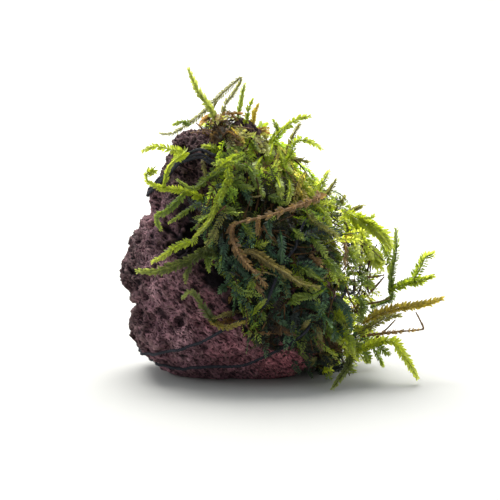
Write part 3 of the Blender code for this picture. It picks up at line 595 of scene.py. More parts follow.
def leaf_shape(corners):
    """A pointed blade, one long and one wide: a fan of triangles round the midrib."""
    bm = bmesh.new()
    bmesh.ops.create_circle(bm, cap_ends=True, cap_tris=True, segments=corners, radius=0.5)
    for vert in bm.verts:
        x, y = vert.co.x, vert.co.y + 0.5
        if abs(x) + abs(y - 0.5) < 0.01:
            vert.co = MIDRIB
            continue
        narrow = 1 - NARROWING * max(y - 0.5, 0) * 2
        vert.co = (x * narrow, y * 0.98 + 0.02, RIM_RISE * abs(x) + TIP_RISE * y * y)
    return read_shape(bm)


def stem_shape(sides):
    """A length of round stem, one long along its second axis."""
    bm = bmesh.new()
    bmesh.ops.create_cone(bm, cap_ends=False, segments=sides, radius1=1, radius2=1, depth=1)
    for vert in bm.verts:
        x, y, z = vert.co
        vert.co = (x, z + 0.5, -y)
    return read_shape(bm)


SMALL_LEAF = leaf_shape(4)
FINE_LEAF = leaf_shape(8)
SMALL_STEM = stem_shape(3)
FINE_STEM = stem_shape(5)
LEAF_LOOK, STEM_LOOK = 0, 1
print("leaf:", len(SMALL_LEAF[1]), "or", len(FINE_LEAF[1]), "triangles")

# %% [markdown]
# The moss has tens of thousands of leaves. As objects of their own they would make a slow scene and
# a heavy model. So their places are worked out as arrays of numbers, and each clump or long shoot
# becomes one mesh, in which every point keeps the colour of its leaf.

# %% Joining copies in one mesh
LEAF_BASE_TONE, LEAF_TIP_RISE = 0.86, 0.28


class Bundle:
    """Collects copies of small shapes and joins them in one mesh."""

    def __init__(self):
        self.points, self.tris, self.tints, self.looks = [], [], [], []
        self.count = 0

    def add(self, shape, place, axes, size, tint, look):
        """Copies a shape to each place, turned to its three axes and scaled along them."""
        points, tris = shape
        side, along, out = axes
        spread = (side[:, None] * (points[:, 0, None] * size[0][:, None, None])
                  + along[:, None] * (points[:, 1, None] * size[1][:, None, None])
                  + out[:, None] * (points[:, 2, None] * size[2][:, None, None]))
        self.points.append((place[:, None] + spread).reshape(-1, 3))
        starts = self.count + np.arange(len(place)) * len(points)
        self.tris.append((starts[:, None, None] + tris[None]).reshape(-1, 3))
        shade = np.ones(len(points))
        if look == LEAF_LOOK:
            shade = LEAF_BASE_TONE + LEAF_TIP_RISE * np.clip(points[:, 1], 0, 1)
        self.tints.append((tint[:, None] * shade[None, :, None]).reshape(-1, 3))
        self.looks.append(np.full(len(place) * len(tris), look))
        self.count += len(place) * len(points)

    def mesh(self, name, materials):
        points = np.concatenate(self.points) * MM
        points[:, 2] = np.maximum(points[:, 2], 0)
        tris = np.concatenate(self.tris)
        mesh = bpy.data.meshes.new(name)
        mesh.vertices.add(len(points))
        mesh.vertices.foreach_set("co", points.astype(np.float32).ravel())
        mesh.loops.add(tris.size)
        mesh.loops.foreach_set("vertex_index", tris.astype(np.int32).ravel())
        mesh.polygons.add(len(tris))
        mesh.polygons.foreach_set("loop_start", np.arange(0, tris.size, 3, dtype=np.int32))
        for material in materials:
            mesh.materials.append(material)
        mesh.polygons.foreach_set("material_index", np.concatenate(self.looks).astype(np.int32))
        mesh.update(calc_edges=True)
        layer = mesh.color_attributes.new("tint", "FLOAT_COLOR", "POINT")
        tints = np.clip(np.concatenate(self.tints), 0, 1)
        rgba = np.concatenate([tints, np.ones((len(tints), 1))], axis=1)
        layer.data.foreach_set("color", rgba.astype(np.float32).ravel())
        return mesh


# %% [markdown]
# A leaf lets light through, which is why the shoots against the light look yellow-green. Its finish
# mixes a slightly waxy surface with a see-through glow, both tinted by the colour that is kept with
# each leaf. Stems have the same tint without the glow.

# %% Leaf and stem finishes
GLOW_SHARE = 0.42
LIT_THROUGH = (1.88, 1.78, 0.95, 1)
FLECKS = ((0.3, (0.68, 0.70, 0.72)), (0.7, (1.25, 1.22, 1.12)))


def tinted(name, roughness, specular, grain):
    """A finish whose colour is the kept tint, broken up by fine noise, and that colour."""
    finish = Finish(name)
    fleck = finish.noise(finish.place, grain, 3.0)
    shade = finish.steps(fleck, *FLECKS)
    colour = finish.mix(1.0, finish.kept("tint", "Color"), shade, "MULTIPLY")
    finish.surface(colour, fleck, 0.35, 0.0001, roughness, specular)
    return finish, colour


leaf_finish, colour = tinted("moss_leaf", 0.42, 0.6, 1.6)
stem_finish, _ = tinted("moss_stem", 0.8, 0.15, 0.9)
lit_through = leaf_finish.mix(1.0, colour, LIT_THROUGH, "MULTIPLY")
glow = leaf_finish.add("BsdfTranslucent", {"Color": lit_through})
both = leaf_finish.add("MixShader", {0: GLOW_SHARE, 1: leaf_finish.shader.outputs[0], 2: glow})
leaf_finish.join(leaf_finish.tree.nodes["Material Output"], {"Surface": both})
FINISHES = (leaf_finish.material, stem_finish.material)
print("moss finishes:", [finish.name for finish in FINISHES])


# %% [markdown]
# One function dresses any number of shoots at once. A shoot is a row of points from base to tip, with
# a direction that its flat side faces. Leaves stand off the stem to both sides, wide near the base
# and closing to a bud at the tip, each turned a little by chance. Thin stems are green and glow like
# the leaves; only old, thick ones are woody.


# %% Dressing shoots
WOODY = 0.25
LEAF_ROWS = (
    # side of the stem, rise towards the flat side
    (-1, 0.12), (1, 0.12), (0, 0.75), (0, -0.75),
)
ANGLE_CHANCE, RISE_CHANCE, TWIST_CHANCE, TWIST = 0.16, 0.22, 0.3, -0.2
LEAF_LENGTHS, LEAF_WIDTHS, LEAF_TONES, TIP_SHARES = (0.8, 1.15), (0.32, 0.44), (0.78, 1.18), (0.7, 1.1)
LEAVES_KEPT = 0.97
STEM_STRIDE, STEM_OVERLAP = 3, 1.04
STEM_GIRTHS, STEM_TONES = (0.85, 1.2), (0.75, 1.2)


def dress(bundle, routes, facing, size, tint, tip_tint, stem, hidden, spread=62, fine=False, rows=2):
    """Puts leaves and stems on shoots: routes is shoots x points x 3, the rest one row a shoot.

    The way that the flat side faces is given for each shoot, or for each point of it.
    """
    grid = routes.shape[:2]
    along = unit(np.gradient(routes, axis=1))
    facing = facing if facing.ndim == 3 else facing[:, None]
    out = unit(square_to(np.broadcast_to(facing, routes.shape), along))
    side = np.cross(along, out)
    step = np.linalg.norm(routes[:, 1] - routes[:, 0], axis=1)[:, None, None]
    share = np.linspace(0, 1, grid[1])
    length = np.minimum(0.55 + 2.4 * share, 1) * (1 - 0.4 * share ** 6)
    off_stem = (stem[:, None] * np.linspace(0.8, 0.3, grid[1]))[..., None]
    for row, (hand, rise) in enumerate(LEAF_ROWS[:rows]):
        angle = np.radians(spread) * (1 - 0.5 * share ** 3) + rng.normal(0, ANGLE_CHANCE, grid)
        across = unit(hand * side + out * (rise + rng.normal(0, RISE_CHANCE, grid))[..., None])
        blade = unit(along * np.cos(angle)[..., None] + across * np.sin(angle)[..., None])
        face = out + side * rng.normal(TWIST * hand, TWIST_CHANCE, grid)[..., None]
        flat = unit(square_to(face if hand else -along, blade))
        long = size[:, None] * length * rng.uniform(*LEAF_LENGTHS, grid)
        wide = long * rng.uniform(*LEAF_WIDTHS, grid)
        place = routes + along * (step * (0.5 if row % 2 else 0.0)) + across * off_stem
        mix = (share[None, :, None] ** 2.2) * rng.uniform(*TIP_SHARES, (*grid, 1))
        colour = tint[:, None] * (1 - mix) + tip_tint[:, None] * mix
        colour = colour * rng.uniform(*LEAF_TONES, (*grid, 1))
        keep = ~hidden & (rng.random(grid) < LEAVES_KEPT)
        axes = (np.cross(blade, flat)[keep], blade[keep], flat[keep])
        bundle.add(FINE_LEAF if fine else SMALL_LEAF, place[keep], axes,
                   (wide[keep], long[keep], long[keep]), colour[keep], LEAF_LOOK)
    add_stems(bundle, routes, out, stem, tint, fine, LEAF_LOOK if stem.max() < WOODY else STEM_LOOK)


def rows_of(values):
    """The values of all shoots, one below the other."""
    return values.reshape(-1, *values.shape[2:])


def add_stems(bundle, routes, out, radius, tint, fine=False, look=STEM_LOOK):
    """Joins the points of each shoot with short lengths of stem that thin towards the tip."""
    stride = 1 if fine else STEM_STRIDE
    starts, ends = routes[:, :-stride:stride], routes[:, stride::stride]
    reach = np.linalg.norm(ends - starts, axis=2)
    along = unit(ends - starts)
    face = unit(square_to(out[:, ::stride][:, :starts.shape[1]], along))
    thin = radius[:, None] * np.linspace(1.15, 0.6, starts.shape[1])[None]
    thin = thin * rng.uniform(*STEM_GIRTHS, reach.shape)
    colour = np.broadcast_to(tint[:, None] * 0.9 + np.array([0.01, 0.004, 0.0]), starts.shape)
    colour = colour * rng.uniform(*STEM_TONES, (*colour.shape[:2], 1))
    axes = (rows_of(np.cross(along, face)), rows_of(along), rows_of(face))
    size = (rows_of(thin), rows_of(reach) * STEM_OVERLAP, rows_of(thin))
    bundle.add(FINE_STEM if fine else SMALL_STEM, rows_of(starts), axes, size, rows_of(colour), look)


# %% [markdown]
# The shoots that stand clear are what one recognises the piece by, so each follows its own solid. A
# solid is a bar of four-cornered rings. Its ring centres are found by sorting its corners by their
# distance from both ends, measured along its edges.

# %% Ring centres of a bar
LEAFY_SPAN = 0.7


def edge_distances(bm, start):
    """Distance of every corner from one, walked along the edges."""
    far = [math.inf] * len(bm.verts)
    far[start.index] = 0.0
    queue = [(0.0, start.index)]
    while queue:
        gone, index = heapq.heappop(queue)
        if gone > far[index]:
            continue
        for edge in bm.verts[index].link_edges:
            other = edge.other_vert(bm.verts[index])
            reach = gone + edge.calc_length()
            if reach < far[other.index] - 1e-9:
                far[other.index] = reach
                heapq.heappush(queue, (reach, other.index))
    return np.array(far)


def rings_of(node):
    """Centres of a bar's rings and the way that its wide side lies, from its base.

    The base is the thicker end, unless the bar is leafy and its last ring spreads like a leaf.
    """
    bm = merged_copy(node)
    bm.verts.index_update()
    one_end = int(edge_distances(bm, bm.verts[0]).argmax())
    from_one = edge_distances(bm, bm.verts[one_end])
    from_other = edge_distances(bm, bm.verts[int(from_one.argmax())])
    order = np.argsort(from_one - from_other)
    corners = np.array([bm.verts[int(index)].co for index in order]).reshape(-1, 4, 3)
    bm.free()
    centres, wide = corners.mean(1), []
    for ring, centre in zip(corners, centres):
        reach = ring - centre
        widest = reach[np.linalg.norm(reach, axis=1).argmax()]
        if wide and widest.dot(wide[-1]) < 0:
            widest = -widest
        wide.append(widest)
    wide = np.array(wide)
    spans = np.linalg.norm(corners - centres[:, None], axis=2)
    ends = spans[[0, -1]].max(1) * spans[[0, -1]].min(1)
    ends_in_a_leaf = spans.max() > LEAFY_SPAN and len(corners) % 2 == 0
    if (ends[0] < ends[1]) != ends_in_a_leaf:
        centres, wide = centres[::-1], wide[::-1]
    return centres, wide


def smooth_points(points, spacing):
    """Evenly spaced points on a smooth curve through some points."""
    ends = np.concatenate([2 * points[:1] - points[1:2], points, 2 * points[-1:] - points[-2:-1]])
    t = np.linspace(0, 1, 20, endpoint=False)[:, None]
    fine = []
    for a, b, c, d in zip(ends, ends[1:], ends[2:], ends[3:]):
        fine.append(0.5 * (2 * b + (c - a) * t + (2 * a - 5 * b + 4 * c - d) * t ** 2
                           + (3 * b - a - 3 * c + d) * t ** 3))
    fine = np.concatenate([*fine, points[-1:]])
    gone = np.concatenate([[0], np.cumsum(np.linalg.norm(np.diff(fine, axis=0), axis=1))])
    count = max(int(round(gone[-1] / spacing)), 4) + 1
    even = np.linspace(0, gone[-1], count)
    return np.stack([np.interp(even, gone, fine[:, axis]) for axis in range(3)], axis=1)


# %% [markdown]
# ## The clumps
# Each clump's solid says how far its moss stands off the rock. Shoots are rooted inside it and come
# out through its outer face at a slant, so their tips make the shaggy outline. Only the outer face
# counts: where a clump meets the rock or its neighbour, nothing grows.

# %% Where shoots come out
ROCK_REACH = 5.0
NEIGHBOUR_REACH = 0.9

moss_solids = {node: merged_copy(node) for node in MOSS_NODES}
moss_trees = {node: BVHTree.FromBMesh(solid) for node, solid in moss_solids.items()}


def outer_faces(node):
    """The faces of a clump that look away from the rock and from the other clumps."""
    others = [tree for name, tree in moss_trees.items() if name != node]
    found = []
    for face in moss_solids[node].faces:
        centre, normal = face.calc_center_median(), face.normal
        start = centre + normal * 0.02
        if rock_tree.ray_cast(start, normal, ROCK_REACH)[0]:
            continue
        if any(tree.ray_cast(start, normal, NEIGHBOUR_REACH)[0] for tree in others):
            continue
        found.append(face)
    return found


def spots_on(faces, count):
    """Random points spread evenly over some faces, with the way each face looks."""
    corners = np.array([[vert.co for vert in face.verts] for face in faces])
    normals = np.array([[vert.normal for vert in face.verts] for face in faces])
    area = np.array([face.calc_area() for face in faces])
    pick = rng.choice(len(faces), count, p=area / area.sum())
    a, b = rng.random(count), rng.random(count)
    over = a + b > 1
    a[over], b[over] = 1 - a[over], 1 - b[over]
    weights = np.stack([1 - a - b, a, b], axis=1)[..., None]
    return (corners[pick] * weights).sum(1), unit((normals[pick] * weights).sum(1))


# %% [markdown]
# Moss is never one green: old strands at the crown are orange brown. Each place on the rock gets
# shares of a few colours, and each shoot draws one by those shares. The shares also hold painted
# light and shade: the shaded front and bottom draw deep bluish green and near black, as painted
# shade, and the shoots that stand in the light on the crown, the shoulder and the right draw bright
# yellow green, as painted light.

# %% Moss colours
COLOURS = {
    "lit": ((0.440, 0.520, 0.035), (0.62, 0.68, 0.18)),
    "pale": ((0.300, 0.350, 0.110), (0.48, 0.54, 0.22)),
    "bright": ((0.250, 0.335, 0.022), (0.46, 0.52, 0.125)),
    "green": ((0.140, 0.215, 0.034), (0.325, 0.40, 0.085)),
    "fresh": ((0.310, 0.390, 0.030), (0.52, 0.58, 0.14)),
    "deep": ((0.040, 0.098, 0.064), (0.130, 0.235, 0.122)),
    "sage": ((0.240, 0.250, 0.120), (0.38, 0.40, 0.190)),
    "olive": ((0.175, 0.175, 0.055), (0.31, 0.32, 0.11)),
    "brown": ((0.250, 0.158, 0.082), (0.42, 0.31, 0.15)),
    "amber": ((0.200, 0.110, 0.040), (0.30, 0.19, 0.07)),
    "rust": ((0.115, 0.068, 0.032), (0.20, 0.125, 0.055)),
    "old": ((0.235, 0.195, 0.085), (0.38, 0.38, 0.13)),
    "gold": ((0.345, 0.285, 0.050), (0.54, 0.47, 0.12)),
    "dull": ((0.100, 0.128, 0.042), (0.34, 0.40, 0.14)),
    "dark": ((0.019, 0.033, 0.033), (0.045, 0.067, 0.054)),
}
# painted light and shade: front and low draw dark colours as shade, crown, shoulder and right draw
# bright ones as light
REGION_SHARES = {
    "top": {"rust": 5, "olive": 5, "green": 4},
    "crown": {"bright": 10, "green": 8, "olive": 2.2, "rust": 0.8},
    "shoulder": {"bright": 9, "green": 4, "gold": 1.0, "olive": 2, "rust": 0.6},
    "front": {"bright": 0.8, "green": 3.0, "deep": 7.4, "rust": 1.0, "olive": 0.8, "dark": 4},
    "right": {"lit": 4, "bright": 7, "green": 4, "olive": 1.4, "gold": 1.2, "rust": 0.8},
    "low": {"green": 2.4, "deep": 5, "dark": 4, "rust": 1.6, "olive": 1.2},
    "back": {"bright": 2.5, "green": 5, "deep": 3.5, "rust": 1, "olive": 2},
}
TOP_FROM, CROWN_FROM, LOW_TO, BACK_FROM = 57, 45, 15, 3
SHOULDER_FROM, SHOULDER_HEIGHT, SHOULDER_MIDDLE, SHOULDER_SLOPE = 2, 38, 12, 0.2
RIGHT_FROM, LOW_RIGHT_FROM, LOW_RIGHT_TO = 21, 24.5, 28
REGION_CHANCE, TONE_CHANCE = 2.5, 0.2


def region_of(place):
    x, y, z = place
    if z > TOP_FROM:
        return "top"
    if x > SHOULDER_FROM and z > SHOULDER_HEIGHT + SHOULDER_SLOPE * abs(x - SHOULDER_MIDDLE):
        return "shoulder"
    if z > CROWN_FROM:
        return "crown"
    if x > (LOW_RIGHT_FROM if z < LOW_RIGHT_TO else RIGHT_FROM):
        return "right"
    if y > BACK_FROM:
        return "back"
    return "low" if z < LOW_TO else "front"


def draw_tints(places):
    """A base and a tip colour for the shoot at each place."""
    tints, tips = np.empty((len(places), 3)), np.empty((len(places), 3))
    for index, place in enumerate(places + rng.normal(0, REGION_CHANCE, places.shape)):
        shares = REGION_SHARES[region_of(place)]
        weights = np.array(list(shares.values()), float)
        name = list(shares)[rng.choice(len(shares), p=weights / weights.sum())]
        tints[index], tips[index] = COLOURS[name]
    change = np.exp(rng.normal(0, TONE_CHANCE, (len(places), 1)))
    return tints * change, tips * change


# %% [markdown]
# Out of the water the shoots hang, and those on the right reach away from the rock. On top of that
# they lean together in tufts, so the lean of a shoot is its pull, slow noise and some chance. Points
# that would lie inside the rock, or too deep in the clump to be seen, bear no leaves.

# %% Growing shoots
POINTS_A_SHOOT = 19
PASSES_SURFACE_AT = 0.72
TUFT_SIZE, TUFT_LEAN, LEAN_CHANCE = 8.0, 1.3, 0.42
HANG, RIGHT_PULL, FULL_PULL_AT = np.array([0, 0, -0.75]), np.array([0.035, 0, 0.012]), 30
BEND_CHANCE, ARCH, ARCH_CHANCE, MOST_DROOP = 0.22, -0.12, 0.16, 0.25
OFF_FLOOR = 0.4
STEM_ROOM, STEM_DEPTH, ROCK_ROOM = 1.5, 0.6, 0.1
SHOW_ON_TOP = ("brown_stem_upper", "brown_stem_lower", "brown_stem_limb", "hanging_frond",
               "hanging_frond_tip", "long_left_frond", "left_fork_main", "lower_left_shoot")


def lean_of(places, normals):
    """The sideways lean of each shoot: its pull, the lean of its tuft, and some chance."""
    tuft = np.array([noise.noise_vector(Vector(place) / TUFT_SIZE) for place in places])
    pull = HANG + RIGHT_PULL * np.clip(places[:, :1], 0, FULL_PULL_AT)
    chance = rng.normal(0, LEAN_CHANCE, places.shape)
    return unit(square_to(pull + tuft * TUFT_LEAN + chance, normals))


top_points = [Vector(point) for node in SHOW_ON_TOP for point in smooth_points(rings_of(node)[0], 0.6)]
top_lookup = lookup_of(top_points)
print("points kept clear for long shoots:", len(top_points))


def crowded(points):
    """True for points under the rock's surface, or too near a long shoot that lies on top."""
    crowding = []
    for point in points.reshape(-1, 3):
        point = Vector(point)
        near, normal, _, _ = rock_tree.find_nearest(point)
        gap = top_lookup.find(point - normal * STEM_DEPTH)[2]
        crowding.append((point - near).dot(normal) < ROCK_ROOM or gap < STEM_ROOM)
    return np.array(crowding).reshape(points.shape[:-1])


def shares(count):
    """Shares of a shoot's length from base to tip, shaped for shoots x points x 3."""
    return np.linspace(0, 1, count)[None, :, None]


def off_floor(routes):
    """The same routes, with no point in the floor."""
    routes[..., 2] = np.maximum(routes[..., 2], OFF_FLOOR)
    return routes


def grow(places, normals, lengths, slant, proud):
    """Routes of shoots that come out at places on the outer face: shoots x points x 3."""
    share = shares(POINTS_A_SHOOT)
    lean = lean_of(places, normals)
    way = unit(normals * np.sin(slant)[:, None] + lean * np.cos(slant)[:, None])
    sideways = np.cross(way, normals)
    one_each = (len(places), 1, 1)
    bend = rng.normal(0, BEND_CHANCE, one_each)
    arch = rng.normal(ARCH, ARCH_CHANCE, one_each)
    length = lengths[:, None, None]
    start = places + normals * proud[:, None]
    routes = start[:, None] + way[:, None] * length * (share - PASSES_SURFACE_AT)
    routes = routes + sideways[:, None] * bend * length * (share - 0.4) ** 2 * 2
    routes = routes + normals[:, None] * arch * length * (share - 0.5) ** 2 * 2
    routes[..., 2:3] -= rng.uniform(0.0, MOST_DROOP, one_each) * length * share ** 3
    return off_floor(routes)


# %% [markdown]
# Where the photograph shows no moss, or thin moss, none or little grows. Spots on the crown are
# left bare, the front has dark gaps between its shoots, where those below are painted dark as
# shade, the red facet at the lower right stays free, and to the right fewer and fewer shoots are
# kept, so that the light comes through.

# %% Bare and thin places
AIRY_FROM, AIRY_TO = 17, 23
TOP_HEIGHT, KEPT_ON_TOP = 58, 0.5
BARE_PLACES = (
    # place in mm, reach in mm
    ((4.5, -5, 61), 5.0), ((7.5, -8, 56), 4.0), ((-10, -4, 61), 4.0), ((13, 0, 56), 4.5),
    ((16.5, -3, 51.5), 4.0),
)
# spots where the front is painted dark as shade: shoots on top are left out and those below darkened
HOLLOWS = (
    # sideways place and height in mm, reach in mm
    ((4.4, 45.5), 3.2), ((-0.4, 47), 2.4), ((10.2, 36.8), 3.0), ((1.4, 31), 2.8), ((14, 34), 2.4),
    ((7.7, 16.2), 3.0), ((4.4, 40.5), 2.4), ((-5, 38), 2.6), ((9.5, 47.5), 2.0), ((15, 22), 2.6),
    ((13, 41.5), 2.4), ((23.4, 17), 2.8), ((10.2, 22.4), 2.2), ((20, 25), 2.2), ((19, 35), 2.2),
)
BARE_FRONT = (((9, 1), 4.0), ((14, 3.5), 5.0), ((18, 5), 4.4))
FRONT_TO = 2


def overgrown(places, airy):
    """True where a shoot is kept: fewer towards the right, none on the places left bare."""
    thin = share_between(places[:, 0], AIRY_FROM, AIRY_TO)
    keep = rng.random(len(places)) < 1 - thin * (1 - airy)
    keep &= (places[:, 2] < TOP_HEIGHT) | (rng.random(len(places)) < KEPT_ON_TOP)
    for centre, radius in BARE_PLACES:
        keep &= np.linalg.norm(places - np.array(centre), axis=1) > radius
    return keep


def in_circles(circles, *points_of_shoots):
    """True for shoots of which one of these points lies in a circle of the front."""
    inside = np.zeros(len(points_of_shoots[0]), bool)
    for points in points_of_shoots:
        for centre, radius in circles:
            near = np.linalg.norm(points[:, (0, 2)] - np.array(centre), axis=1) < radius
            inside |= near & (points[:, 1] < FRONT_TO)
    return inside


# %% [markdown]
# A clump has two layers. Below lie short shoots packed close, painted dark as shade, which show
# between the others. Over them lie fewer, larger shoots with their flat side outwards, painted
# lighter as light: these are the feathers that one sees. Some of them branch. Bare old stems run
# through both. On the right the moss is thin enough to look through, so fewer shoots are kept there.

# %% Layers of a clump
DEEPEST_LEAF = 7.5
PATCH_SIZE, PATCH_TONE, PATCH_CHANGE, PATCH_LEAST, PATCH_MOST = 5, 1.05, 1.1, 0.35, 1.3
# painted shade for shoots in the dark spots of the front
HOLLOW_SHADE = 0.4
FACING_CHANCE = 0.38
THIN_STEMS = (0.08, 0.13)
BRANCHED, BRANCH_LENGTHS, BRANCH_POINTS, BRANCH_RADIUS = 0.4, (0.28, 0.45), 8, 0.09


def layer(bundle, faces, count, lengths, leaves, slants, proud, shade, airy):
    """One layer of shoots on some faces; gives their routes, facing, colours and sizes."""
    places, normals = spots_on(faces, count)
    keep = overgrown(places, airy)
    places, normals = places[keep], normals[keep]
    count = len(places)
    reach = rng.uniform(*lengths, count) * np.where(places[:, 2] > TOP_HEIGHT, 0.6, 1.0)
    slant = np.radians(rng.uniform(*slants, count))
    routes = grow(places, normals, reach, slant, rng.normal(*proud, count))
    clear = ~in_circles(BARE_FRONT, places, routes[:, -5], routes[:, -1])
    if shade > 1:
        clear &= ~in_circles(HOLLOWS, places, routes[:, -7], routes[:, -1])
    places, normals, reach, routes = places[clear], normals[clear], reach[clear], routes[clear]
    tints, tips = draw_tints(places)
    patch = [PATCH_TONE + PATCH_CHANGE * noise.noise(Vector(place) / PATCH_SIZE) for place in places]
    patch = np.clip(patch, PATCH_LEAST, PATCH_MOST)
    # painted shade: shoots in these spots are darkened
    patch = np.where(in_circles(HOLLOWS, places), patch * HOLLOW_SHADE, patch)[:, None]
    tints, tips = tints * patch * shade, tips * patch * shade
    facing = unit(normals + rng.normal(0, FACING_CHANCE, normals.shape))
    depth = np.einsum("skc,sc->sk", places[:, None] - routes, normals)
    hidden = (depth > DEEPEST_LEAF) | crowded(routes)
    size = rng.uniform(*leaves, len(places))
    dress(bundle, routes, facing, size, tints, tips, rng.uniform(*THIN_STEMS, len(places)), hidden)
    return routes, facing, tints, tips, size, reach


def branch_out(bundle, routes, facing, tints, tips, size, reach):
    """Short side shoots in the plane of some of the shoots."""
    pick = rng.choice(len(routes), int(len(routes) * BRANCHED), replace=False)
    at = rng.integers(POINTS_A_SHOOT // 3, POINTS_A_SHOOT - 6, len(pick))
    start, ahead = routes[pick, at], unit(routes[pick, at + 1] - routes[pick, at])
    hand = rng.choice((-1, 1), (len(pick), 1))
    way = unit(ahead * 0.7 + np.cross(ahead, facing[pick]) * hand * 0.7)[:, None]
    length = (reach[pick] * rng.uniform(*BRANCH_LENGTHS, len(pick)))[:, None, None]
    share = shares(BRANCH_POINTS)
    branches = start[:, None] + way * length * share + ahead[:, None] * length * 0.35 * share ** 2
    branches = off_floor(branches)
    dress(bundle, branches, facing[pick], size[pick] * 0.85, tints[pick], tips[pick],
          np.full(len(pick), BRANCH_RADIUS), crowded(branches))


# %% [markdown]
# Three more things fill a clump. Bare old stems run through it. On the right, where one looks
# between the shoots, some start on the rock itself and reach the outside in an arch, and short ones
# cover the rock behind them.

# %% Old stems and the airy side
RUST, DARK = np.array(COLOURS["rust"][0]), np.array(COLOURS["dark"][0])
STEM_LENGTHS, STEM_SLANTS, STEM_DEPTHS, STEM_RADII = (5, 11), (-8, 14), (-3.5, 0.0), (0.10, 0.24)
STEMS_KEPT, STEM_SHADES = 0.3, (0.25, 1.2)
REACH_FROM, ENDS_PROUD, END_CHANCE = 14, (-0.5, 1.2), 1.6
OFF_ROCK_SHARES, START_CHANCE = (0.1, 0.6), 2.0
MIDDLE_RISE, MIDDLE_CHANCE = np.array([0, 0, 1.4]), 1.3
REACH_FACING, REACH_FACING_CHANCE, TURNED_BEHIND = np.array([0.1, -0.8, 0.4]), 0.6, 4
LEAFLESS_SHARES, BARE_SHARE = (0.0, 0.55), 0.22
REACH_LEAVES, REACH_STEMS = (1.4, 1.8), (0.10, 0.16)
ROCK_SHOOTS_FROM, ROCK_SHOOTS, ROCK_SHOOT_CHANCE = 15, 240, 2.0
ROCK_SHOOT_LENGTHS, ROCK_SHOOT_SLANTS, ROCK_SHOOT_DEPTHS = (3.5, 5.5), (15, 60), (0.6, 1.6)
ROCK_SHOOT_LEAVES, ROCK_SHOOT_SHADE, ROCK_SHOOT_FACING_CHANCE = (1.0, 1.3), 0.7, 0.4


def old_stems(bundle, faces, count):
    """Bare brown stems that run through a clump."""
    places, normals = spots_on(faces, count)
    keep = overgrown(places, STEMS_KEPT)
    places, normals = places[keep], normals[keep]
    count = len(places)
    slant, proud = np.radians(rng.uniform(*STEM_SLANTS, count)), rng.uniform(*STEM_DEPTHS, count)
    routes = grow(places, normals, rng.uniform(*STEM_LENGTHS, count), slant, proud)
    tints = RUST * rng.uniform(*STEM_SHADES, (count, 1))
    out = square_to(np.broadcast_to(normals[:, None], routes.shape), unit(np.gradient(routes, axis=1)))
    add_stems(bundle, routes, unit(out), rng.uniform(*STEM_RADII, count), tints)


def reach_out(bundle, faces, count):
    """Shoots that run from the rock to the outside of the clump, with room between them."""
    places, normals = spots_on(faces, count)
    keep = places[:, 0] > REACH_FROM
    places, normals = places[keep], normals[keep]
    count = len(places)
    starts = np.array([rock_tree.find_nearest(Vector(place))[0] for place in places])
    ends = places + normals * rng.uniform(*ENDS_PROUD, (count, 1))
    ends = ends + rng.normal(0, END_CHANCE, places.shape)
    starts = starts + (places - starts) * rng.uniform(*OFF_ROCK_SHARES, (count, 1))
    starts = starts + rng.normal(0, START_CHANCE, places.shape)
    middles = (starts + ends) / 2 + rng.normal(0, MIDDLE_CHANCE, places.shape) + MIDDLE_RISE
    share = shares(POINTS_A_SHOOT)
    routes = off_floor(starts[:, None] * (1 - share) ** 2 + ends[:, None] * share ** 2
                       + 2 * middles[:, None] * share * (1 - share))
    tints, tips = draw_tints(places)
    outwards = REACH_FACING * np.sign(-places[:, 1:2] - TURNED_BEHIND)
    facing = unit(rng.normal(0, REACH_FACING_CHANCE, places.shape) + outwards)
    leafless = share[..., 0] < rng.uniform(*LEAFLESS_SHARES, (count, 1))
    bare = rng.random(count) < BARE_SHARE
    tints[bare], tips[bare] = DARK * 2.0, RUST
    size, radius = rng.uniform(*REACH_LEAVES, count), rng.uniform(*REACH_STEMS, count)
    dress(bundle, routes, facing, size, tints, tips, radius, leafless | bare[:, None] | crowded(routes))


def cover_rock(bundle, faces, count):
    """Short shoots on the rock itself, under the airy part of a clump."""
    places, _ = spots_on(faces, count)
    places = places[places[:, 0] > ROCK_SHOOTS_FROM]
    count = len(places)
    places = places + rng.normal(0, ROCK_SHOOT_CHANCE, places.shape)
    nearest = [rock_tree.find_nearest(Vector(place)) for place in places]
    places, normals = (np.array([found[part] for found in nearest]) for part in (0, 1))
    slant = np.radians(rng.uniform(*ROCK_SHOOT_SLANTS, count))
    proud = rng.uniform(*ROCK_SHOOT_DEPTHS, count)
    routes = grow(places, normals, rng.uniform(*ROCK_SHOOT_LENGTHS, count), slant, proud)
    # painted shade: the shoots on the rock, under the clump, are darkened
    tints, tips = (tones * ROCK_SHOOT_SHADE for tones in draw_tints(places))
    facing = unit(normals + rng.normal(0, ROCK_SHOOT_FACING_CHANCE, normals.shape))
    size, radius = rng.uniform(*ROCK_SHOOT_LEAVES, count), rng.uniform(*THIN_STEMS, count)
    dress(bundle, routes, facing, size, tints, tips, radius, crowded(routes))


# %% [markdown]
# Each clump is now one line of a table. The crown gets longer leaves than the others, painted
# lighter as light, because it stands in the light. The lower shoots of every clump are painted dark
# as shade.

# %% Growing the clumps
MOSS_SEED = 5
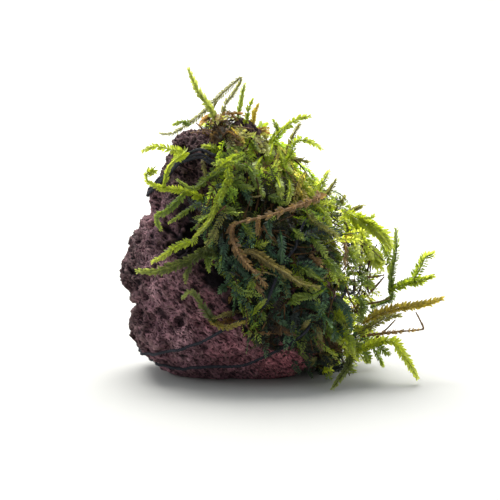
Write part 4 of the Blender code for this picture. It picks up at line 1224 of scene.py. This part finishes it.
# painted shade: UNDER_SHADE darkens the lower shoots; painted light: CROWN_SHADE and OTHER_SHADE
# lighten those on top
UNDER_LENGTHS, UNDER_LEAVES, UNDER_SLANTS = (5, 9), (0.9, 1.2), (5, 45)
UNDER_CHANCE, UNDER_SHADE = 0.8, 0.26
OVER_PROUD = (0.0, 0.5)
CROWN_LEAVES, CROWN_SHADE = (1.35, 1.75), 1.75
OTHER_LEAVES, OTHER_SHADE = (1.1, 1.45), 1.35
CLUMPS = (
    # piece, solid, shoots below and on top, lengths and slants of those on top, old stems,
    # how far the lower ones are sunk, share kept at the right, shoots that reach out
    ("crown_moss", "moss_crown", 400, 190, (7, 11), (5, 32), 130, -1.9, 0.6, 0),
    ("front_moss", "moss_front", 560, 170, (7, 12), (8, 38), 150, -1.9, 0.6, 0),
    ("upper_right_moss", "moss_right_upper", 330, 170, (7, 11), (10, 50), 80, -3.0, 0.0, 55),
    ("lower_right_moss", "moss_right_lower", 330, 160, (7, 10), (10, 45), 110, -3.0, 0.0, 62),
    ("back_moss", "moss_back", 560, 330, (8, 13), (8, 40), 110, -2.2, 0.25, 0),
)

rng = np.random.default_rng(MOSS_SEED)
for name, node, under, over, lengths, slants, stems, sunk, airy, reaching in CLUMPS:
    bundle = Bundle()
    faces = outer_faces(node)
    crown = node == "moss_crown"
    leaves, shade = (CROWN_LEAVES, CROWN_SHADE) if crown else (OTHER_LEAVES, OTHER_SHADE)
    layer(bundle, faces, under, UNDER_LENGTHS, UNDER_LEAVES, UNDER_SLANTS, (sunk, UNDER_CHANCE),
          UNDER_SHADE, airy)
    feathers = layer(bundle, faces, over, lengths, leaves, slants, OVER_PROUD, shade, airy)
    branch_out(bundle, *feathers)
    old_stems(bundle, faces, stems)
    if reaching:
        reach_out(bundle, faces, reaching)
        cover_rock(bundle, faces, ROCK_SHOOTS)
    mesh = bundle.mesh(name, FINISHES)
    finish_piece(name, mesh, node)
    print(name, under + over, "shoots,", len(mesh.polygons), "triangles")

# %% [markdown]
# ## The long shoots
# A few kinds of shoot cover what the photograph shows: full feathers with their leaves spread like
# a comb, plump ones with overlapping leaves, slim ones with short leaves, thick scaly stems that
# have kept only stubs of their leaves, and thin wires.

# %% Long shoots
KINDS = {
    # leaf length, leaf spacing, spread, rows of leaves, stem radius, share of leaves kept
    "feather": (1.4, 0.46, 60, 4, 0.18, 1.0),
    "broad": (2.7, 0.50, 52, 4, 0.20, 1.0),
    "full": (1.75, 0.42, 54, 4, 0.20, 1.0),
    "plump": (1.4, 0.40, 50, 4, 0.20, 1.0),
    "slim": (1.05, 0.38, 46, 4, 0.22, 0.97),
    "ragged": (1.6, 0.34, 40, 4, 0.46, 0.85),
    "bare": (1.5, 0.38, 44, 4, 0.52, 0.5),
    "wire": (0.6, 0.8, 40, 2, 0.27, 0.25),
    "fuzzy": (0.9, 0.45, 40, 4, 0.34, 0.6),
    "strand": (0.8, 0.6, 50, 2, 0.16, 0.3),
}
SHOOTS_BY_LOOK = {
    # kind and colour: solids
    ("plump", "pale"): "tall_shoot",
    ("slim", "sage"): "arching_stem_rise arching_stem_fall",
    ("slim", "bright"): "crown_leafy_stem crown_curl front_bright_sprig",
    ("slim", "gold"): "crown_brown_tip low_yellow_strand",
    ("feather", "fresh"): "upper_left_frond",
    ("plump", "fresh"): "left_fork_main left_fork_tip hanging_frond hanging_frond_tip",
    ("slim", "fresh"): "left_fork_branch",
    ("slim", "green"): "loop_leaf left_thin_sprig",
    ("plump", "green"): "left_low_sprig upright_stem",
    ("full", "dull"): "long_left_frond",
    ("slim", "dull"): "long_left_branch",
    ("plump", "dull"): "lower_left_shoot floor_frond",
    ("bare", "brown"): "brown_stem_upper brown_stem_lower back_stem",
    ("ragged", "old"): "brown_stem_limb",
    ("feather", "bright"): "upper_right_frond upper_right_arc right_bright_tip back_high_frond"
                           " back_hanging_frond",
    ("slim", "olive"): "upper_right_brown right_grey_tip right_brown_tip right_peak right_peak_low",
    ("broad", "lit"): "backlit_frond backlit_frond_low",
    ("full", "bright"): "far_frond far_frond_tip",
    ("full", "gold"): "gold_frond",
    ("feather", "olive"): "gold_frond_low",
    ("fuzzy", "brown"): "kinked_stem",
    ("wire", "brown"): "kinked_stem_end small_twig",
    ("full", "lit"): "lower_right_frond",
    ("wire", "dark"): "dark_twig dark_twig_low",
    ("slim", "dark"): "old_stem_bundle",
    ("feather", "green"): "back_left_frond back_right_frond",
    ("feather", "gold"): "back_low_frond",
}
looks = {node: look for look, nodes in SHOOTS_BY_LOOK.items() for node in nodes.split()}
LONG_SHOOTS = {node: looks[node] for node in slot_of if node in looks}
GROWS_ON = {"brown_stem_lower": "brown_stem_upper", "brown_stem_limb": "brown_stem_lower"}
ROOT_LENGTH = 2.5
NEAR_SOLID = 1.5
LONG_ROUTES = {node: rings_of(node) for node in LONG_SHOOTS}


def rooted(node):
    """A long shoot's route, led back into the moss or to the shoot that it branches from."""
    centres, wide = LONG_ROUTES[node]
    base = Vector(centres[0])
    gaps = [tree.find_nearest(base)[3] for tree in (rock_tree, *moss_trees.values())]
    if node in GROWS_ON:
        stem = LONG_ROUTES[GROWS_ON[node]][0]
        root = stem[[np.linalg.norm(stem - centres[0], axis=1).argmin()]]
    elif min(gaps) < NEAR_SOLID:
        root = centres[:1] - unit(centres[1:2] - centres[:1]) * ROOT_LENGTH
    else:
        others = np.concatenate([route for name, (route, _) in LONG_ROUTES.items() if name != node])
        root = others[[np.linalg.norm(others - centres[0], axis=1).argmin()]]
    return np.concatenate([root, centres]), np.concatenate([wide[1:2], wide[1:2], wide[1:]])


def long_shoot(bundle, points, wide, kind, colour):
    """Leaves and stem along one long shoot, whose wide side is given for each of its points."""
    leaf, spacing, spread, rows, radius, share_kept = KINDS[kind]
    route = smooth_points(points, spacing)[None]
    far, near = np.linspace(0, 1, route.shape[1]), np.linspace(0, 1, len(wide))
    across = np.stack([np.interp(far, near, wide[:, axis]) for axis in range(3)], axis=1)[None]
    facing = unit(np.cross(np.gradient(route, axis=1), across))
    tint, tip = (np.array([value]) * rng.uniform(0.85, 1.15) for value in COLOURS[colour])
    hidden = rng.random(route.shape[:2]) > share_kept
    dress(bundle, route, facing, np.array([leaf]), tint, tip, np.array([radius]), hidden,
          spread, fine=True, rows=rows)


triangles = 0
for node, (kind, colour) in LONG_SHOOTS.items():
    bundle = Bundle()
    long_shoot(bundle, *rooted(node), kind, colour)
    mesh = bundle.mesh(node + "_leaves", FINISHES)
    triangles += len(mesh.polygons)
    finish_piece(mesh.name, mesh, node)
print("long shoots:", len(LONG_SHOOTS), "with", triangles, "triangles")

# %% [markdown]
# Some sprigs are too short to be solids. They stand on the long shoots or on the clumps, and each is
# given by a few points and led back to whatever is nearest to its base.

# %% Small sprigs
SMALL_SPRIGS = (
    # kind, colour, points in mm from base to tip
    ("slim", "green", ((-14.2, -6, 64), (-15.7, -7, 64.4), (-17.5, -7.5, 64))),
    ("wire", "brown", ((-9.5, -3.5, 60.5), (-11, -4.5, 62.8), (-12.2, -5, 64))),
    ("slim", "green", ((-9.5, -26, 33.8), (-9, -27.5, 32.4), (-8.8, -27.5, 30.5))),
    ("slim", "brown", ((3.2, -25, 42.7), (3.4, -25.5, 41.3), (3.2, -26, 39.6))),
    ("slim", "green", ((8.5, -5, 61.3), (8.2, -5.5, 62.8), (7.3, -5.5, 64.5))),
    ("slim", "olive", ((6, -4, 58.5), (5.5, -4, 59.6), (5, -4.2, 60.9))),
    ("slim", "bright", ((30.5, -4.5, 38.8), (31.6, -4.5, 39.4), (32.4, -4.5, 40.4))),
    ("slim", "green", ((32.5, -12, 7.5), (34, -12.2, 5), (34.8, -12.5, 3.5))),
)
SPRIG_WIDE = np.array([[0.3, 0, 1.0]] * 2)
SHOOT_POINTS = np.concatenate([smooth_points(route, 0.8) for route, _ in LONG_ROUTES.values()])


def nearest_hold(base):
    """The nearest point of the rock, the moss or a long shoot."""
    holds = [tree.find_nearest(Vector(base))[0] for tree in (rock_tree, *moss_trees.values())]
    holds.append(SHOOT_POINTS[np.linalg.norm(SHOOT_POINTS - base, axis=1).argmin()])
    return min(holds, key=lambda hold: np.linalg.norm(np.array(hold) - base))


bundle = Bundle()
for kind, colour, points in SMALL_SPRIGS:
    points = np.array([nearest_hold(np.array(points[0])), *points], float)
    long_shoot(bundle, points, SPRIG_WIDE, kind, colour)
sprigs = bundle.mesh("small_sprigs", FINISHES)
finish_piece("small_sprigs", sprigs, slot="green_leaf")
print("small sprigs:", len(sprigs.polygons), "triangles")


# %% [markdown]
# The shoots that catch the eye on the face of the clumps are placed by where they are seen. A ray
# from the camera through each point finds the moss or rock behind it, and the shoot is laid a little
# in front of that. Where there is none, the shoot stands on the long shoot that the ray passes.

# %% Shoots placed where they are seen
# kind, colour, distance in front of the moss in mm, then points of the picture from base to tip
SEEN_SHOOTS = (
    ("feather", "bright", 1.2, (219, 157), (213, 148), (204, 146)),
    ("feather", "green", 0.8, (221, 160), (214, 171), (203, 181), (195, 190)),
    ("slim", "old", 0.8, (209, 150), (204, 161), (205, 175)),
    ("feather", "olive", 1.2, (222, 163), (219, 175), (214, 186)),
    ("feather", "green", 1.6, (243, 164), (252, 171), (257, 183), (263, 194)),
    ("slim", "old", 1.6, (238, 162), (236, 152)),
    ("feather", "green", 1.0, (224, 152), (235, 163), (246, 169)),
    ("slim", "green", 1.2, (249, 138), (254, 144), (259, 151)),
    ("slim", "gold", 1.2, (232, 128), (238, 135), (243, 141)),
    ("strand", "amber", 1.2, (229, 127), (240, 127), (254, 129)),
    ("strand", "amber", 1.2, (219, 141), (225, 133), (230, 127)),
    ("strand", "amber", 1.4, (184, 133), (198, 132), (212, 131)),
    ("strand", "amber", 1.2, (226, 136), (236, 141), (247, 150)),
    ("slim", "amber", 1.2, (228, 131), (234, 134), (241, 139)),
    ("full", "lit", 1.4, (351, 216), (359, 228), (366, 240), (371, 256)),
    ("full", "lit", 1.0, (357, 214), (370, 224), (382, 236), (389, 246)),
    ("full", "lit", 1.0, (346, 222), (353, 236), (357, 252)),
    ("feather", "bright", 1.4, (285, 175), (283, 163), (279, 151)),
    ("feather", "bright", 1.2, (266, 166), (270, 155), (272, 145)),
    ("feather", "bright", 1.2, (262, 158), (257, 165), (255, 173)),
    ("slim", "gold", 1.0, (280, 172), (276, 163), (278, 155)),
    ("feather", "bright", 1.6, (284, 172), (290, 187), (288, 201)),
    ("feather", "bright", 1.6, (296, 176), (304, 184), (314, 197)),
    ("feather", "bright", 1.6, (302, 176), (309, 181), (315, 189)),
    ("feather", "gold", 1.4, (296, 186), (302, 193), (305, 200)),
    ("feather", "bright", 1.2, (275, 176), (280, 186), (281, 196)),
    ("wire", "old", 1.4, (255, 170), (264, 172), (273, 176)),
    ("wire", "old", 1.4, (249, 196), (256, 197), (263, 195)),
    ("feather", "green", 1.2, (268, 196), (277, 199), (284, 203)),
    ("feather", "green", 1.0, (230, 181), (240, 187), (252, 189)),
    ("feather", "green", 1.0, (216, 204), (226, 209), (236, 214)),
    ("feather", "deep", 1.0, (239, 189), (247, 193), (250, 203)),
    ("feather", "olive", 1.6, (307, 209), (313, 221), (322, 227), (337, 236)),
    ("feather", "bright", 1.6, (318, 207), (325, 214), (330, 224)),
    ("slim", "deep", 0.8, (222, 253), (236, 264), (248, 277), (253, 288)),
    ("feather", "deep", 0.8, (237, 278), (228, 284), (220, 291)),
    ("slim", "green", 1.0, (258, 307), (262, 313), (265, 321)),
    ("feather", "green", 1.2, (241, 223), (247, 229), (252, 236)),
    ("feather", "bright", 1.6, (251, 246), (259, 245), (266, 243)),
    ("feather", "deep", 1.0, (280, 231), (282, 245), (281, 261)),
    ("feather", "deep", 1.0, (271, 215), (268, 228), (270, 240)),
    ("feather", "green", 1.2, (293, 229), (298, 234), (302, 238)),
    ("feather", "green", 1.2, (307, 232), (317, 243), (326, 256)),
    ("feather", "green", 1.4, (296, 264), (308, 272), (320, 279)),
    ("wire", "old", 1.4, (331, 264), (325, 277), (317, 279)),
    ("bare", "brown", 0.8, (311, 256), (320, 265)),
    ("feather", "bright", 1.8, (302, 281), (308, 285), (315, 289)),
    ("wire", "old", 1.2, (254, 274), (265, 272), (277, 276)),
    ("slim", "brown", 1.0, (249, 276), (258, 287), (264, 297)),
    ("feather", "deep", 1.0, (284, 280), (286, 288), (288, 295)),
    ("feather", "green", 1.4, (289, 304), (294, 301), (300, 300)),
    ("feather", "green", 1.4, (326, 288), (311, 296), (296, 295)),
    ("feather", "deep", 1.0, (269, 308), (276, 316), (284, 324)),
    ("slim", "old", 1.2, (300, 330), (304, 326), (309, 321)),
    ("slim", "old", 0.8, (243, 312), (228, 314), (214, 318)),
    ("slim", "amber", 0.8, (240, 321), (226, 321), (212, 324)),
    ("strand", "amber", 0.8, (246, 330), (262, 333), (280, 334)),
    ("feather", "rust", 1.0, (268, 327), (280, 330), (293, 335)),
    ("slim", "old", 1.0, (312, 322), (318, 330), (321, 339)),
    ("slim", "brown", 1.0, (344, 239), (346, 253), (345, 268)),
    ("wire", "olive", 1.0, (345, 222), (355, 238), (368, 246), (384, 261)),
    ("feather", "bright", 1.0, (344, 246), (352, 253), (361, 262)),
    ("feather", "bright", 1.0, (366, 250), (374, 257), (383, 263)),
    ("feather", "bright", 1.0, (381, 242), (388, 256), (391, 275)),
    ("feather", "green", 1.2, (327, 259), (334, 267), (341, 277)),
    ("feather", "green", 1.2, (358, 277), (365, 281), (373, 287)),
    ("wire", "brown", 1.0, (367, 304), (378, 302), (390, 298)),
    ("wire", "brown", 1.0, (366, 277), (374, 277), (384, 275)),
    ("wire", "brown", 1.0, (371, 292), (377, 285), (384, 277)),
    ("feather", "deep", 1.0, (337, 299), (347, 311), (351, 329)),
    ("feather", "green", 1.2, (358, 296), (364, 306), (360, 320)),
    ("feather", "bright", 1.2, (345, 330), (350, 340), (353, 352)),
    ("feather", "bright", 1.4, (365, 338), (373, 341), (381, 343)),
    ("feather", "green", 1.2, (377, 346), (383, 350), (388, 354)),
    ("feather", "green", 1.2, (357, 344), (366, 352), (369, 362)),
)
ROOTED_BEHIND = 1.5
EYE = FOCUS + towards_camera * CAMERA_DISTANCE


def picture_ray(u, v):
    """The way that the camera sees a point of the 500-pixel picture, in millimetres."""
    scale = SENSOR / lens.lens
    x = ((u / PICTURE_SIDE - 0.5) + lens.shift_x) * scale
    y = ((0.5 - v / PICTURE_SIDE) + lens.shift_y) * scale
    right = Vector((1, 0, 0))
    up = right.cross(-towards_camera)
    return (right * x + up * y - towards_camera).normalized()


def reach_of_shoot(ray):
    """How far from the camera a ray passes the long shoot that it comes nearest to."""
    along = (SHOOT_POINTS - np.array(EYE)) @ np.array(ray)
    aside = np.linalg.norm(SHOOT_POINTS - np.array(EYE) - along[:, None] * np.array(ray), axis=1)
    return float(along[aside.argmin()])


def lay_on_moss(pixels, ahead):
    """Points in front of the moss for some points of the picture."""
    rays = [picture_ray(u, v) for u, v in pixels]
    trees = (rock_tree, *moss_trees.values())
    reaches = [min([tree.ray_cast(EYE, ray)[3] or math.inf for tree in trees]) for ray in rays]
    known = [reach for reach in reaches if reach < math.inf] or [reach_of_shoot(rays[0])]
    reaches = [reach if reach < math.inf else known[0] for reach in reaches]
    return np.array([EYE + ray * (reach - ahead) for ray, reach in zip(rays, reaches)])


bundle = Bundle()
for kind, colour, ahead, *pixels in SEEN_SHOOTS:
    points = lay_on_moss(pixels, ahead)
    points[0] -= np.array(towards_camera) * (ahead + ROOTED_BEHIND)
    wide = np.cross(points[-1] - points[0], np.array(towards_camera))
    long_shoot(bundle, points, np.array([wide, wide]), kind, colour)
seen = bundle.mesh("face_shoots", FINISHES)
finish_piece("face_shoots", seen, slot="bright_leaf")
print("shoots placed by eye:", len(SEEN_SHOOTS), "with", len(seen.polygons), "triangles")

# %% [markdown]
# ## The thread
# The moss is tied on with dark sewing thread of three plies that wind round each other. Each ply is
# a curve with a round section, wound round the middle of the thread's solid. At the left the thread
# lies tight on the rock, so there its route is drawn onto the finished skin. At the right the moss
# has grown over it, so there it lies a little deeper.

# %% Thread
THREAD_STEP = 0.4
PLIES = 3
PLY_RADIUS = 0.20
PLY_OFFSET = 0.21
PLY_PITCH = 3.0
THREAD_RADIUS = 0.38
THREAD_SMOOTHING = 10
SIDE_HINT = (0.3, 0.2, 1.0)
SNUG_BELOW, SNUG_FROM, SNUG_TO = 30, -6, -14
KNOB_SNUG_FROM, KNOB_SNUG_TO, KNOB_RISE = -12, -17, -0.2
CREST_WITHIN = 1.0
KEPT_OFF_ROCK = 0.8
SINKS_FROM, SINKS_TO, SUNK = 15.5, 22, 6.5
UNDER_CROWN_FROM, UNDER_CROWN_TO, UNDER_CROWN, CROWN_BACK = -10, -5, 2.4, 5


def sunk_in_moss(point, normal, gap):
    """A thread point let into the moss, as far as the rock leaves room."""
    if point[2] > SNUG_BELOW and point[1] < CROWN_BACK:
        depth = share_between(point[0], UNDER_CROWN_FROM, UNDER_CROWN_TO) * UNDER_CROWN
    else:
        depth = share_between(point[0], SINKS_FROM, SINKS_TO) * SUNK
    return point - np.array(normal) * min(depth, max(gap - KEPT_OFF_ROCK, 0))


def drawn_on(point):
    """A thread point drawn onto the rock's crests at the left, or let into the moss elsewhere."""
    near, normal, _, gap = rock_tree.find_nearest(Vector(point))
    on_knob = point[2] > SNUG_BELOW
    start, full = (KNOB_SNUG_FROM, KNOB_SNUG_TO) if on_knob else (SNUG_FROM, SNUG_TO)
    weight = share_between(point[0], start, full)
    if weight == 0:
        return sunk_in_moss(point, normal, gap)
    crests = [skin_height[index] for _, index, _ in skin_lookup.find_range(near, CREST_WITHIN)]
    rise = max(crests, default=0) * (KNOB_RISE if on_knob else 1.0)
    target = np.array(near + normal * (rise + THREAD_RADIUS))
    return point + (target - point) * weight


centres, _ = rings_of("binding_thread")
route = np.array([drawn_on(point) for point in smooth_points(centres, THREAD_STEP)])
for _ in range(THREAD_SMOOTHING):
    route[1:-1] = route[1:-1] * 0.5 + (route[:-2] + route[2:]) * 0.25
along = unit(np.gradient(route, axis=0))
out = unit(square_to(np.broadcast_to(SIDE_HINT, route.shape), along))
side = np.cross(along, out)
gone = np.arange(len(route)) * THREAD_STEP


def ply_mesh(phase):
    """One ply, as a tube wound round the thread's route."""
    turn = 2 * math.pi * gone / PLY_PITCH + phase
    points = route + PLY_OFFSET * (side * np.cos(turn)[:, None] + out * np.sin(turn)[:, None])
    curve = bpy.data.curves.new("ply", "CURVE")
    curve.dimensions = "3D"
    curve.bevel_depth = PLY_RADIUS * MM
    curve.bevel_resolution = 1
    curve.use_fill_caps = True
    spline = curve.splines.new("POLY")
    spline.points.add(len(points) - 1)
    flat = np.concatenate([points * MM, np.ones((len(points), 1))], axis=1)
    spline.points.foreach_set("co", flat.ravel())
    obj = bpy.data.objects.new("ply", curve)
    bpy.context.scene.collection.objects.link(obj)
    mesh = bpy.data.meshes.new_from_object(obj.evaluated_get(bpy.context.evaluated_depsgraph_get()))
    bpy.data.objects.remove(obj)
    return mesh


# %% [markdown]
# The plies are joined in one mesh. Their finish is nearly black, with fine fibres in its colour and
# its bump, and dull, because dyed thread that lies wet between moss has lost its shine.

# %% Thread finish and piece
DARK_FIBRE, LIGHT_FIBRE = (0.008, 0.009, 0.014), (0.040, 0.043, 0.056)

thread = Finish("sewing_thread")
fibre = thread.noise(thread.place, 5.0, 4.0)
tone = thread.steps(fibre, (0.35, DARK_FIBRE), (0.65, LIGHT_FIBRE))
thread.surface(tone, fibre, 0.7, 0.0001, 0.7, 0.25)

bm = bmesh.new()
for ply_number in range(PLIES):
    ply = ply_mesh(2 * math.pi * ply_number / PLIES)
    bm.from_mesh(ply)
    bpy.data.meshes.remove(ply)
mesh = bpy.data.meshes.new("sewing_thread")
bm.to_mesh(mesh)
bm.free()
mesh.polygons.foreach_set("use_smooth", np.ones(len(mesh.polygons), bool))
mesh.materials.clear()
mesh.materials.append(thread.material)
finish_piece("sewing_thread", mesh, "binding_thread")
print("thread:", round(float(gone[-1])), "mm long,", len(mesh.polygons), "faces")
